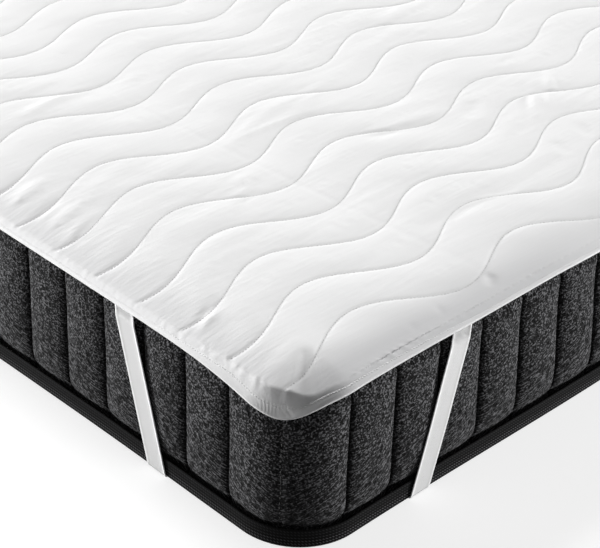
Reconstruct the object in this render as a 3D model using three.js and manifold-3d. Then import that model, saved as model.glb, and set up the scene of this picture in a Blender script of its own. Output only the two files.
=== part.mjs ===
// A quilted mattress protector, held by a strap round each corner, on a plain padded mattress.
// Millimetres, +Z up. The origin is the centre of the footprint, on the surface below the mattress.
// X runs across the bed and Y along it. The pad is one filled solid with wave-shaped sewn channels.
import * as THREE from "three";
import Module from "manifold-3d";

const wasm = await Module();
wasm.setup();

// ---- Driving dimensions ----

const BED_WIDTH = 1400; // across X, over the crests of the side rolls
const BED_LENGTH = 2000; // along Y
const CORNER_RADIUS = 75; // in plan, at the crests
const MATTRESS_TOP = 172; // height of the mattress without the pad
const EDGE_ROUND = { reach: 32, fall: 20 }; // how far in and down the top edge of the mattress rounds

const ROLL_COUNT = 108; // padded side rolls round the mattress, besides the wide one
const ROLL_DEPTH = 8; // from a roll's crest to the groove beside it
const WIDE_ROLL = 142; // along the perimeter: the roll at one corner, with the border's join down its middle
const WIDE_ROLL_START = -27.5; // along the perimeter, from where the first corner's arc starts
const JOIN_DIP = 2; // how far the wide roll dips at the join

const PAD_UNDERSIDE = 172.4; // just clear of the mattress
const STITCHED_HEIGHT = 175.8; // top of the pad along a stitch line
const CREST_HEIGHT = 183; // top of the pad in the middle of a channel
const CHANNEL_PITCH = 63.2; // from one stitch line to the next, along Y
const FIRST_LINE = 66.2; // middle of the first stitch line at the side at -X, from the end at -Y
const LINE_DRIFT = -0.0158; // the lines are not quite square to the sides: rise along Y for each run along X
const LINE_COUNT = 31;
const WAVE_LENGTH = 232.3; // along X
const WAVE_HEIGHT = 20.6; // from the middle of a line to its crest, along Y
const WAVE_START = 88.6; // from the side at -X to where the wave first climbs
const WAVE_STEPS = 6; // straight stretches in one wave

const PAD_EDGE_INSET = 4.5; // the pad's cut edge, in from the crests of the side rolls
const EDGE_CLEARANCE = 3; // extra room under the pad where it bends down
const HEM_THICKNESS = 3; // the pad's edge where the binding squeezes it
const BINDING_THICKNESS = 1;
const BINDING_NOSE = 1.4; // thickness of the binding round the pad's cut edge
// How much lower the pad's edge hangs at a corner, where along the edge it is deepest, from the start
// of the corner's arc, and how far the drop spreads on the two sides of that place.
const CORNER_DROP = { depth: 24, deepest: 36, before: 70, after: 40, sharpness: 1.8 };

const STRAP_WIDTH = 25;
const STRAP_THICKNESS = 1.2;
const STRAP_FROM_CORNER = { longTop: 247, longBase: 203, shortTop: 220, shortBase: 176 };
const STRAP_UNDER = 0.9; // middle of the strap's thickness where it passes under the mattress
const STRAP_TURN = 34; // how far in from the sides the strap has turned to the diagonal
const STRAP_SLOT_TOP = 2.2; // the underside is pressed in this far for a strap

const TAPE_HEIGHT = 21;
const GAP = 0.5; // between neighbouring pieces

const COLOURS = { microfibre: 0xf1f1f1, elastic: 0xe4e4e4, knit: 0x3a3a3c, tape: 0x1b1b1d };

// ---- The perimeter: a rounded rectangle, run anticlockwise from above ----

const HALF_WIDTH = BED_WIDTH / 2;
const HALF_LENGTH = BED_LENGTH / 2;
const ARC = (Math.PI / 2) * CORNER_RADIUS;
const SHORT_RUN = BED_WIDTH - 2 * CORNER_RADIUS;
const LONG_RUN = BED_LENGTH - 2 * CORNER_RADIUS;
const PERIMETER = 4 * ARC + 2 * SHORT_RUN + 2 * LONG_RUN;

// Each corner: the signs of its place, the heading of its outward normal where its arc starts,
// and the straight run that follows it.
const CORNERS = [
  { name: "corner_strap_1", sx: -1, sy: -1, normal: Math.PI, run: SHORT_RUN },
  { name: "corner_strap_2", sx: 1, sy: -1, normal: 1.5 * Math.PI, run: LONG_RUN },
  { name: "corner_strap_3", sx: 1, sy: 1, normal: 0, run: SHORT_RUN },
  { name: "corner_strap_4", sx: -1, sy: 1, normal: 0.5 * Math.PI, run: LONG_RUN },
];

// Where each corner's arc starts along the perimeter.
function arcStarts() {
  const starts = [];
  let distance = 0;
  for (const corner of CORNERS) {
    starts.push(distance);
    distance += ARC + corner.run;
  }
  return starts;
}

const ARC_STARTS = arcStarts();

// The point at a distance along the perimeter, moved in along the normal.
function edgePoint(distance, inset) {
  const along = THREE.MathUtils.euclideanModulo(distance, PERIMETER);
  let k = CORNERS.length - 1;
  while (along < ARC_STARTS[k]) k -= 1;
  const corner = CORNERS[k];
  const past = along - ARC_STARTS[k];
  const onArc = Math.min(past, ARC);
  const heading = corner.normal + onArc / CORNER_RADIUS;
  const normal = new THREE.Vector2(Math.cos(heading), Math.sin(heading));
  const tangent = new THREE.Vector2(-normal.y, normal.x);
  return new THREE.Vector2(
    corner.sx * (HALF_WIDTH - CORNER_RADIUS),
    corner.sy * (HALF_LENGTH - CORNER_RADIUS),
  )
    .addScaledVector(normal, CORNER_RADIUS - inset)
    .addScaledVector(tangent, past - onArc);
}

// How far the top edge hangs below its height elsewhere: most near each corner, none at the inner
// end of the rounded edge.
function drop(distance, inset) {
  let near = 0;
  for (const start of ARC_STARTS) {
    const from = distance - start - CORNER_DROP.deepest;
    const wrapped = from - PERIMETER * Math.round(from / PERIMETER);
    const spread = wrapped < 0 ? CORNER_DROP.before : CORNER_DROP.after;
    near += Math.max(0, Math.exp(-(Math.abs(wrapped / spread) ** CORNER_DROP.sharpness)) - 0.01);
  }
  return CORNER_DROP.depth * near * Math.max(0, 1 - inset / EDGE_ROUND.reach);
}

// Stations for plain hoops: the corner arcs in equal steps, and a few stations before and after them.
const ARC_STEPS = 8;
const STATIONS_BEFORE = [150, 100, 60, 25];
const STATIONS_AFTER = [25, 60];

function plainStations() {
  const stations = [];
  for (const start of ARC_STARTS) {
    stations.push(...STATIONS_BEFORE.map((tail) => start - tail));
    for (let i = 0; i <= ARC_STEPS; i += 1) stations.push(start + (ARC * i) / ARC_STEPS);
    stations.push(...STATIONS_AFTER.map((tail) => start + ARC + tail));
  }
  return stations;
}

// ---- Solids ----

function solid(points, triangles) {
  const vertProperties = new Float32Array(points.flatMap((p) => [p.x, p.y, p.z]));
  const triVerts = new Uint32Array(triangles.flat());
  return new wasm.Manifold(new wasm.Mesh({ numProp: 3, vertProperties, triVerts }));
}

// Two triangles for the quad a, b, c, d.
function quad(a, b, c, d) {
  return [
    [a, b, c],
    [a, c, d],
  ];
}

// A stack of rings with the same number of points, anticlockwise from above, lowest first.
// Each end is closed by a fan round its middle.
function loft(rings) {
  const count = rings[0].length;
  const points = rings.flat();
  const triangles = [];
  for (let level = 0; level + 1 < rings.length; level += 1) {
    for (let i = 0; i < count; i += 1) {
      const a = level * count + i;
      const b = level * count + ((i + 1) % count);
      triangles.push(...quad(a, b, b + count, a + count));
    }
  }
  const top = (rings.length - 1) * count;
  const middleOf = (ring) =>
    ring.reduce((sum, p) => sum.add(p), new THREE.Vector3()).divideScalar(ring.length);
  const below = points.push(middleOf(rings[0])) - 1;
  const above = points.push(middleOf(rings[rings.length - 1])) - 1;
  for (let i = 0; i < count; i += 1) {
    const next = (i + 1) % count;
    triangles.push([below, next, i], [above, top + i, top + next]);
  }
  return solid(points, triangles);
}

// A closed section, swept right round the perimeter. The section is a list of places { out, z },
// anticlockwise with "out" to the right, where out is measured outward from the roll crests.
function hoop(section) {
  const stations = plainStations();
  const count = section.length;
  const points = stations.flatMap((distance) => section.map((place) => placed(distance, place)));
  const triangles = [];
  for (let j = 0; j < stations.length; j += 1) {
    const ahead = ((j + 1) % stations.length) * count;
    for (let k = 0; k < count; k += 1) {
      const next = (k + 1) % count;
      triangles.push(...quad(j * count + k, ahead + k, ahead + next, j * count + next));
    }
  }
  return solid(points, triangles);
}

// A section's place on the perimeter. Only places on the rounded top edge take the corner drop.
function placed(distance, place) {
  const plan = edgePoint(distance, -place.out);
  const fall = place.stays ? 0 : drop(distance, -place.out);
  return new THREE.Vector3(plan.x, plan.y, place.z - fall);
}

// A solid of revolution's cousin: each place of an open profile, lowest first, becomes one ring.
function edgeShaped(profile) {
  const stations = plainStations();
  return loft(profile.map((place) => stations.map((distance) => placed(distance, place))));
}

// ---- The rounded top edge: ellipses about one centre ----

const EDGE_CENTRE = { out: -EDGE_ROUND.reach, z: MATTRESS_TOP - EDGE_ROUND.fall };
const UNDER = { reach: EDGE_ROUND.reach + EDGE_CLEARANCE, rise: PAD_UNDERSIDE - EDGE_CENTRE.z };
const OVER = { reach: 34.3, rise: CREST_HEIGHT + 1 - EDGE_CENTRE.z };
const MIDDLE = { reach: (UNDER.reach + OVER.reach) / 2, rise: (UNDER.rise + OVER.rise) / 2 };

// The place on one of these ellipses at an angle above level, moved off it along its normal and on
// past it along its tangent, down and outward.
function edgePlace(ellipse, degrees, off = 0, past = 0) {
  const angle = THREE.MathUtils.degToRad(degrees);
  const normal = new THREE.Vector2(
    Math.cos(angle) / ellipse.reach,
    Math.sin(angle) / ellipse.rise,
  ).normalize();
  return {
    out: EDGE_CENTRE.out + ellipse.reach * Math.cos(angle) + off * normal.x + past * normal.y,
    z: EDGE_CENTRE.z + ellipse.rise * Math.sin(angle) + off * normal.y - past * normal.x,
  };
}

// The angle at which one of these ellipses stands this far in from the roll crests.
function angleAt(ellipse, inset) {
  return THREE.MathUtils.radToDeg(Math.acos((EDGE_ROUND.reach - inset) / ellipse.reach));
}

// ---- The mattress ----

// The padded border's rolls in order: where each starts, how long it is and how deep its first groove.
function borderRolls() {
  const half = WIDE_ROLL / 2;
  const pitch = (PERIMETER - WIDE_ROLL) / ROLL_COUNT;
  const rolls = [
    { start: WIDE_ROLL_START, length: half, depth: ROLL_DEPTH },
    { start: WIDE_ROLL_START + half, length: half, depth: JOIN_DIP },
  ];
  for (let i = 0; i < ROLL_COUNT; i += 1) {
    const start = WIDE_ROLL_START + WIDE_ROLL + i * pitch;
    rolls.push({ start, length: pitch, depth: ROLL_DEPTH });
  }
  return rolls;
}

// Stations round the border: each roll's groove and its two shoulders, and the plain stations too.
function borderStations() {
  const shaped = borderRolls().flatMap(({ start, length, depth }) => [
    { distance: start, depth },
    { distance: start + 0.28 * length, depth: 0 },
    { distance: start + 0.72 * length, depth: 0 },
  ]);
  shaped.push({ distance: shaped[0].distance + PERIMETER, depth: shaped[0].depth });
  const NEAREST = 2;
  const between = [];
  for (const plain of plainStations()) {
    const distance =
      shaped[0].distance + THREE.MathUtils.euclideanModulo(plain - shaped[0].distance, PERIMETER);
    const next = shaped.findIndex((station) => station.distance > distance);
    const [a, b] = [shaped[next - 1], shaped[next]];
    if (distance - a.distance > NEAREST && b.distance - distance > NEAREST) {
      const share = (distance - a.distance) / (b.distance - a.distance);
      between.push({ distance, depth: THREE.MathUtils.lerp(a.depth, b.depth, share) });
    }
  }
  return [...shaped.slice(0, -1), ...between].sort((a, b) => a.distance - b.distance);
}

// Levels of the border, lowest first. "rolls" is the share of the rolls' depth at that level.
const MATTRESS_LEVELS = [
  { z: 0, inset: 8, rolls: 0, drop: 0 },
  { z: 40, inset: 0, rolls: 1, drop: 0 },
  { z: 160, inset: 0, rolls: 1, drop: 1.15 },
  { z: 166.3, inset: 8.5, rolls: 0.6, drop: 1.15 },
  { z: MATTRESS_TOP, inset: EDGE_ROUND.reach + 1, rolls: 0, drop: 0 },
];

function mattress(slots) {
  const stations = borderStations();
  const rings = MATTRESS_LEVELS.map((level) =>
    stations.map(({ distance, depth }) => {
      const plan = edgePoint(distance, level.inset + level.rolls * depth);
      const fall = level.drop * drop(distance, level.inset);
      return new THREE.Vector3(plan.x, plan.y, level.z - fall);
    }),
  );
  return slots.reduce((body, slot) => body.subtract(slot), loft(rings));
}

// The woven tape over the bottom edge: thicker below, where it is folded under.
function baseTape(slots) {
  const section = [
    { out: -6.6, z: 0, stays: true },
    { out: -1.8, z: 0, stays: true },
    { out: -0.8, z: 1.2, stays: true },
    { out: -0.8, z: TAPE_HEIGHT - 1, stays: true },
    { out: -1.6, z: TAPE_HEIGHT, stays: true },
    { out: -2.8, z: TAPE_HEIGHT, stays: true },
  ];
  return slots.reduce((body, slot) => body.subtract(slot), hoop(section));
}

// ---- The quilted pad ----

// A block whose top has the sewn channels, larger than the pad all round.
function quiltBlock() {
  const OVERHANG = 20;
  const END_MARGIN = 90;
  const FLOOR = EDGE_CENTRE.z - 20;
  const rows = [{ y: -END_MARGIN, wavy: false, z: CREST_HEIGHT }];
  for (let i = 0; i < LINE_COUNT; i += 1) {
    const line = FIRST_LINE + i * CHANNEL_PITCH;
    rows.push({ y: line - CHANNEL_PITCH / 2, wavy: true, z: CREST_HEIGHT });
    rows.push({ y: line, wavy: true, z: STITCHED_HEIGHT });
  }
  const lastCrest = FIRST_LINE + (LINE_COUNT - 0.5) * CHANNEL_PITCH;
  rows.push({ y: lastCrest, wavy: true, z: CREST_HEIGHT });
  rows.push({ y: BED_LENGTH + END_MARGIN, wavy: false, z: CREST_HEIGHT });

  const step = WAVE_LENGTH / WAVE_STEPS;
  const first = WAVE_START - step * Math.ceil((WAVE_START + OVERHANG) / step);
  const columns = Math.ceil((BED_WIDTH + OVERHANG - first) / step) + 1;
  const grid = rows.map((row) =>
    Array.from({ length: columns }, (_, c) => {
      const x = first + c * step;
      const wave = WAVE_HEIGHT * Math.sin((2 * Math.PI * (x - WAVE_START)) / WAVE_LENGTH);
      const y = row.y - HALF_LENGTH + (row.wavy ? wave + LINE_DRIFT * x : 0);
      return new THREE.Vector3(x - HALF_WIDTH, y, row.z);
    }),
  );

  const points = grid.flat();
  const triangles = [];
  const at = (r, c) => r * columns + c;
  for (let r = 0; r + 1 < rows.length; r += 1) {
    for (let c = 0; c + 1 < columns; c += 1) {
      triangles.push(...quad(at(r, c), at(r, c + 1), at(r + 1, c + 1), at(r + 1, c)));
    }
  }
  const rim = [];
  for (let c = 0; c < columns; c += 1) rim.push(at(0, c));
  for (let r = 1; r < rows.length; r += 1) rim.push(at(r, columns - 1));
  for (let c = columns - 2; c >= 0; c -= 1) rim.push(at(rows.length - 1, c));
  for (let r = rows.length - 2; r > 0; r -= 1) rim.push(at(r, 0));
  const foot = points.length;
  for (const i of rim) points.push(points[i].clone().setZ(FLOOR));
  const middle = points.push(new THREE.Vector3(0, 0, FLOOR)) - 1;
  rim.forEach((upper, i) => {
    const next = (i + 1) % rim.length;
    triangles.push(...quad(foot + i, foot + next, rim[next], upper));
    triangles.push([middle, foot + next, foot + i]);
  });
  return solid(points, triangles);
}

// Angles on the middle ellipse: the binding's inner edge, its middle and the pad's cut edge.
const HEM_ANGLES = [57.5, 48, angleAt(MIDDLE, PAD_EDGE_INSET)];

// Everything within the binding's reach except the squeezed edge of the pad.
function bindingRoom() {
  const half = HEM_THICKNESS / 2;
  const FAR = 8;
  const inner = HEM_ANGLES[0] + 0.6;
  const [, middle, end] = HEM_ANGLES;
  return hoop([
    edgePlace(MIDDLE, inner, half),
    edgePlace(MIDDLE, middle, half),
    edgePlace(MIDDLE, end, half),
    edgePlace(MIDDLE, end, -half),
    edgePlace(MIDDLE, middle, -half),
    edgePlace(MIDDLE, inner, -half),
    edgePlace(MIDDLE, inner, -FAR),
    edgePlace(MIDDLE, end, -FAR, FAR),
    edgePlace(MIDDLE, end, FAR, FAR),
    edgePlace(MIDDLE, inner, FAR),
  ]);
}

function quiltedPad() {
  const lowest = EDGE_CENTRE.z - 18;
  const over = [
    { out: -PAD_EDGE_INSET, z: lowest },
    edgePlace(OVER, angleAt(OVER, PAD_EDGE_INSET)),
    ...[46, 58, 72, 90].map((angle) => edgePlace(OVER, angle)),
  ];
  const under = [
    { out: EDGE_CLEARANCE, z: lowest - 10 },
    ...[0, 20, 35, 50, 68, 90].map((angle) => edgePlace(UNDER, angle)),
  ];
  return quiltBlock()
    .intersect(edgeShaped(over))
    .subtract(edgeShaped(under))
    .subtract(bindingRoom());
}

// The binding: a folded strip that wraps the pad's edge above, round and below.
function edgeBinding() {
  const inside = HEM_THICKNESS / 2 + GAP;
  const outside = inside + BINDING_THICKNESS;
  const [inner, middle, end] = HEM_ANGLES;
  const nose = GAP + BINDING_NOSE;
  return hoop([
    edgePlace(MIDDLE, inner, -outside),
    edgePlace(MIDDLE, end, -outside, GAP),
    edgePlace(MIDDLE, end, -0.6 * outside, nose),
    edgePlace(MIDDLE, end, 0.6 * outside, nose),
    edgePlace(MIDDLE, end, outside, GAP),
    edgePlace(MIDDLE, middle, outside),
    edgePlace(MIDDLE, inner, outside),
    edgePlace(MIDDLE, inner, inside),
    edgePlace(MIDDLE, middle, inside),
    edgePlace(MIDDLE, end, inside, GAP),
    edgePlace(MIDDLE, end, -inside, GAP),
    edgePlace(MIDDLE, middle, -inside),
    edgePlace(MIDDLE, inner, -inside),
  ]);
}

// ---- The corner straps ----

// The strap's middle line down one side: how far out from the roll crests, how high, and which way
// its outer face looks (out, up).
const STRAP_SIDE = [
  { out: -3.9, z: 165.2, face: [0.7, 0.71] },
  { out: 1, z: 160.6, face: [0.93, 0.37] },
  { out: 1.1, z: 156, face: [1, 0] },
  { out: 1.1, z: 4.5, face: [1, 0] },
  { out: 0.5, z: 1.5, face: [0.7, -0.7] },
  { out: -1.6, z: STRAP_UNDER, face: [0, -1] },
];

// Sections from the top of the long side, under the corner, to the top of the short side. Places are
// measured in from the two sides that meet at the corner: x from the long side, y from the short one.
function strapSections() {
  const { longTop, longBase, shortTop, shortBase } = STRAP_FROM_CORNER;
  const top = STRAP_SIDE[0].z;
  const half = STRAP_THICKNESS / 2;
  const longSide = STRAP_SIDE.map(({ out, z, face }) => ({
    centre: new THREE.Vector3(-out, THREE.MathUtils.lerp(longBase, longTop, z / top), z),
    across: new THREE.Vector3(0, STRAP_WIDTH / 2, 0),
    outward: new THREE.Vector3(-face[0], 0, face[1]).multiplyScalar(half),
  }));
  const shortSide = STRAP_SIDE.map(({ out, z, face }) => ({
    centre: new THREE.Vector3(THREE.MathUtils.lerp(shortBase, shortTop, z / top), -out, z),
    across: new THREE.Vector3(STRAP_WIDTH / 2, 0, 0),
    outward: new THREE.Vector3(0, -face[0], face[1]).multiplyScalar(half),
  })).reverse();
  const from = new THREE.Vector3(0, longBase, STRAP_UNDER);
  const to = new THREE.Vector3(shortBase, 0, STRAP_UNDER);
  const run = to.clone().sub(from).normalize();
  const diagonal = (centre) => ({
    centre,
    across: new THREE.Vector3(-run.y, run.x, 0).multiplyScalar(STRAP_WIDTH / 2),
    outward: new THREE.Vector3(0, 0, -half),
  });
  return [
    ...longSide,
    diagonal(from.clone().addScaledVector(run, STRAP_TURN)),
    diagonal(to.clone().addScaledVector(run, -STRAP_TURN)),
    ...shortSide,
  ];
}

// A bar with four-sided sections, put at one of the bed's corners. Two of the corners are mirrored.
function cornerBar(sections, corner) {
  const points = sections.flatMap(({ centre, across, outward }) =>
    [
      [1, 1],
      [1, -1],
      [-1, -1],
      [-1, 1],
    ].map(([a, b]) => {
      const p = centre.clone().addScaledVector(across, a).addScaledVector(outward, b);
      return new THREE.Vector3(corner.sx * (HALF_WIDTH - p.x), corner.sy * (HALF_LENGTH - p.y), p.z);
    }),
  );
  const triangles = [];
  for (let s = 0; s + 1 < sections.length; s += 1) {
    for (let k = 0; k < 4; k += 1) {
      const a = 4 * s + k;
      const b = 4 * s + ((k + 1) % 4);
      triangles.push(...quad(a, b, b + 4, a + 4));
    }
  }
  const last = 4 * (sections.length - 1);
  triangles.push(...quad(3, 2, 1, 0), ...quad(last, last + 1, last + 2, last + 3));
  const mirrored = corner.sx * corner.sy < 0;
  return solid(points, mirrored ? triangles.map(([a, b, c]) => [a, c, b]) : triangles);
}

// The shallow slot that a strap presses into the underside, run out past both sides.
function strapSlot(corner) {
  const MARGIN = 1;
  const DEEP = 5;
  const BEYOND = 12;
  const under = strapSections().slice(STRAP_SIDE.length - 1, -STRAP_SIDE.length + 1);
  const ends = [under[0], under[under.length - 1]].map(({ centre, across, outward }) => ({
    centre: centre.clone(),
    across: across.clone(),
    outward: outward.clone(),
  }));
  ends[0].centre.x -= BEYOND;
  ends[1].centre.y -= BEYOND;
  const sections = [ends[0], ...under, ends[1]].map(({ centre, across }) => ({
    centre: centre.clone().setZ((STRAP_SLOT_TOP - DEEP) / 2),
    across: across.clone().setLength(STRAP_WIDTH / 2 + MARGIN),
    outward: new THREE.Vector3(0, 0, -(STRAP_SLOT_TOP + DEEP) / 2),
  }));
  return cornerBar(sections, corner);
}

// ---- Assembly ----

function mesh(name, body, colour, roughness) {
  const { vertProperties, triVerts, numProp } = body.getMesh();
  const geometry = new THREE.BufferGeometry();
  const position = new Float32Array((vertProperties.length / numProp) * 3);
  for (let i = 0; i < position.length / 3; i += 1) {
    position.set(vertProperties.subarray(i * numProp, i * numProp + 3), i * 3);
  }
  geometry.setAttribute("position", new THREE.BufferAttribute(position, 3));
  geometry.setIndex(new THREE.BufferAttribute(triVerts, 1));
  geometry.computeVertexNormals();
  const material = new THREE.MeshStandardMaterial({ color: colour, roughness, metalness: 0 });
  const made = new THREE.Mesh(geometry, material);
  made.name = name;
  return made;
}

const slots = CORNERS.map(strapSlot);
const bed = new THREE.Group();
bed.add(mesh("mattress", mattress(slots), COLOURS.knit, 0.95));
bed.add(mesh("base_tape", baseTape(slots), COLOURS.tape, 0.8));
bed.add(mesh("quilted_pad", quiltedPad(), COLOURS.microfibre, 0.85));
bed.add(mesh("edge_binding", edgeBinding(), COLOURS.microfibre, 0.8));
for (const corner of CORNERS) {
  bed.add(mesh(corner.name, cornerBar(strapSections(), corner), COLOURS.elastic, 0.7));
}

export default bed;
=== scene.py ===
"""A quilted mattress protector with a strap round each corner, on a mattress with a padded border.

Sizes are in millimetres, and turned to metres where a mesh is made. Plan places are measured from
the middle of the bed. Distances along the edge run anticlockwise from where the arc of the corner at
-X and -Y starts, and an inset is measured in from the crests of the border's rolls.
"""

import logging
import math
from dataclasses import dataclass, field
from enum import Enum

import bpy
import numpy as np
from mathutils import Matrix, Vector
from mathutils.geometry import delaunay_2d_cdt


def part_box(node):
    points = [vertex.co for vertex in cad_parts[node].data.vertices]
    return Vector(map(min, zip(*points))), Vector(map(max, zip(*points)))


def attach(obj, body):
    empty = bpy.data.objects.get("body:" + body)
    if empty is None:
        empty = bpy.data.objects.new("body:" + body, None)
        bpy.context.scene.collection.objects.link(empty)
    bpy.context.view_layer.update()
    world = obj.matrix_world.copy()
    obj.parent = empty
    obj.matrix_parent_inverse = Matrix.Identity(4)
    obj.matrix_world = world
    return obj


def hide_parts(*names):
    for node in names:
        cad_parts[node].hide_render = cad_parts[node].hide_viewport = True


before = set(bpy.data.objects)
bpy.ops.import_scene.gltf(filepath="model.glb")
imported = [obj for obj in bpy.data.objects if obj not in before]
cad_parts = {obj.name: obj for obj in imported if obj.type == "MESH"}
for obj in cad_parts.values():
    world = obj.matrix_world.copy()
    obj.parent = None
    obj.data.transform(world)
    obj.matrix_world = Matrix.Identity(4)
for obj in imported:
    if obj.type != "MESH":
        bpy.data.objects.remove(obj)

LOG = logging.getLogger("mattress_protector")
MM = 0.001
TURN = 2.0 * math.pi
Array = np.ndarray
Span = tuple[float, float]
Piece = bpy.types.Object
Material = bpy.types.Material
Tree = bpy.types.NodeTree


# ---- Numbers and noise ----

HASH_STEPS = (374761393, 668265263, 974634777)
HASH_MIX = 1274126177
HASH_MASK = 0x7FFFFFFF
HASH_ANGLES = 65536
NOISE_GAIN = 1.5


class Noise(Enum):
    """Which noise each kind of roughness reads, so that none repeats another."""

    DENTS = 3
    STREAK_PATCHES = 5
    STREAKS = 7
    FINE_STREAKS = 9
    STRAY = 11
    GATHERS = 13
    PULLED = 17
    HEM_PATCHES = 23
    HEM_WAVES = 29
    FINE_HEM_WAVES = 31
    ROLL_BULGE = 41
    ROLL_SOFTNESS = 43
    TAPE_WANDER = 47


def smoothstep(low: float, high: float, value: Array) -> Array:
    """Rise smoothly from 0 at low to 1 at high.

    Args:
        low: Where the rise starts.
        high: Where the rise ends.
        value: Where to work it out.

    Returns:
        The share risen, from 0 to 1.
    """
    t = np.clip((value - low) / (high - low), 0.0, 1.0)
    return t * t * (3.0 - 2.0 * t)


def gradient_noise(x: Array, y: Array, noise: Noise) -> Array:
    """Give smooth noise of unit cell size, the same each run.

    Args:
        x: Place along the first axis, in cells.
        y: Place along the second axis, in cells.
        noise: Which noise.

    Returns:
        Noise from about -1 to 1.
    """
    x, y = np.broadcast_arrays(np.asarray(x, float), np.asarray(y, float))
    column, row = np.floor(x), np.floor(y)
    u, v = x - column, y - row
    column, row = column.astype(np.int64), row.astype(np.int64)

    def pull(step_x: int, step_y: int) -> Array:
        """Give what one corner of the cell adds.

        Args:
            step_x: 0 for the cell's low side along the first axis, or 1.
            step_y: 0 for its low side along the second axis, or 1.

        Returns:
            The slope there times the way from it.
        """
        key = (column + step_x) * HASH_STEPS[0] + (row + step_y) * HASH_STEPS[1]
        key = key + noise.value * HASH_STEPS[2]
        key = (key ^ (key >> 13)) & HASH_MASK
        key = (key * HASH_MIX) & HASH_MASK
        turn = (key ^ (key >> 16)) % HASH_ANGLES * (TURN / HASH_ANGLES)
        return np.cos(turn) * (u - step_x) + np.sin(turn) * (v - step_y)

    def fade(t: Array) -> Array:
        """Ease the share of the way across a cell."""
        return t * t * t * (t * (t * 6.0 - 15.0) + 10.0)

    low = pull(0, 0) * (1.0 - fade(u)) + pull(1, 0) * fade(u)
    high = pull(0, 1) * (1.0 - fade(u)) + pull(1, 1) * fade(u)
    return NOISE_GAIN * (low * (1.0 - fade(v)) + high * fade(v))


# ---- Meshes ----


@dataclass
class MeshParts:
    """Points and faces gathered for one piece, in millimetres."""

    points: list[Array] = field(default_factory=list)
    quads: list[Array] = field(default_factory=list)
    triangles: list[Array] = field(default_factory=list)
    values: dict[str, list[Array]] = field(default_factory=dict)
    count: int = 0

    def add_points(self, points: Array, **values: Array) -> Array:
        """Add points, each with named values that the finish reads.

        Args:
            points: Places, one row each.
            values: A number for each point, by name.

        Returns:
            The new points' numbers.
        """
        points = np.asarray(points, float).reshape(-1, 3)
        self.points.append(points)
        for name, value in values.items():
            self.values.setdefault(name, []).append(np.broadcast_to(value, len(points)))
        first = self.count
        self.count += len(points)
        return np.arange(first, self.count)

    def add_grid(self, numbers: Array, closed_rows: bool = False, closed_columns: bool = False) -> None:
        """Add the quads between the points of a grid.

        Args:
            numbers: The points' numbers, as rows and columns.
            closed_rows: Whether the last row joins the first.
            closed_columns: Whether the last column joins the first.
        """
        if closed_rows:
            numbers = np.vstack([numbers, numbers[:1]])
        if closed_columns:
            numbers = np.hstack([numbers, numbers[:, :1]])
        a, b = numbers[:-1, :-1], numbers[:-1, 1:]
        c, d = numbers[1:, 1:], numbers[1:, :-1]
        self.quads.append(np.stack([a, b, c, d], axis=-1).reshape(-1, 4))

    def add_fan(self, ring: Array, middle: int) -> None:
        """Close a ring with triangles round a middle point.

        Args:
            ring: The ring's point numbers, in turning order.
            middle: The middle point's number.
        """
        ahead = np.roll(ring, -1)
        self.triangles.append(np.stack([np.full(len(ring), middle), ring, ahead], axis=-1))

    def make(self, name: str) -> Piece:
        """Make the piece, smooth shaded, in metres.

        Args:
            name: The piece's name.

        Returns:
            The new object.
        """
        points = np.vstack(self.points) * MM
        quads = np.vstack(self.quads) if self.quads else np.zeros((0, 4), int)
        triangles = np.vstack(self.triangles) if self.triangles else np.zeros((0, 3), int)
        mesh = bpy.data.meshes.new(name)
        mesh.vertices.add(len(points))
        mesh.vertices.foreach_set("co", points.astype(np.float32).ravel())
        loops = np.concatenate([quads.ravel(), triangles.ravel()]).astype(np.int32)
        mesh.loops.add(len(loops))
        mesh.loops.foreach_set("vertex_index", loops)
        starts = np.concatenate(
            [np.arange(len(quads)) * 4, len(quads) * 4 + np.arange(len(triangles)) * 3]
        )
        mesh.polygons.add(len(starts))
        mesh.polygons.foreach_set("loop_start", starts.astype(np.int32))
        mesh.update(calc_edges=True)
        for label, chunks in self.values.items():
            attribute = mesh.attributes.new(label, "FLOAT", "POINT")
            attribute.data.foreach_set("value", np.concatenate(chunks).astype(np.float32))
        mesh.shade_smooth()
        made = bpy.data.objects.new(name, mesh)
        bpy.context.scene.collection.objects.link(made)
        return made


class Body(Enum):
    """The bodies that pieces ride on."""

    ROOT = "root"


class Slot(Enum):
    """The record's material slots."""

    MICROFIBRE = "microfibre"
    BINDING = "binding"
    ELASTIC = "elastic"
    KNIT = "knit"
    TAPE = "tape"


def fit_piece(piece: Piece, slot: Slot, finish: Material, *nodes: str) -> None:
    """Dress a piece, put it on the bed and hide the solids that it stands for.

    Args:
        piece: The new object.
        slot: The record's slot that its finish belongs to; not used.
        finish: Its material.
        nodes: The solids that it replaces.
    """
    piece.data.materials.append(finish)
    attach(piece, Body.ROOT.value)
    if nodes:
        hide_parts(*nodes)
    LOG.info("%s: %d faces", piece.name, len(piece.data.polygons))


# ---- The bed's outline and its rounded top edge ----

CORNER_X = np.array([-1.0, 1.0, 1.0, -1.0])
CORNER_Y = np.array([-1.0, -1.0, 1.0, 1.0])
CORNER_NORMAL = np.array([1.0, 1.5, 0.0, 0.5]) * math.pi


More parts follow.
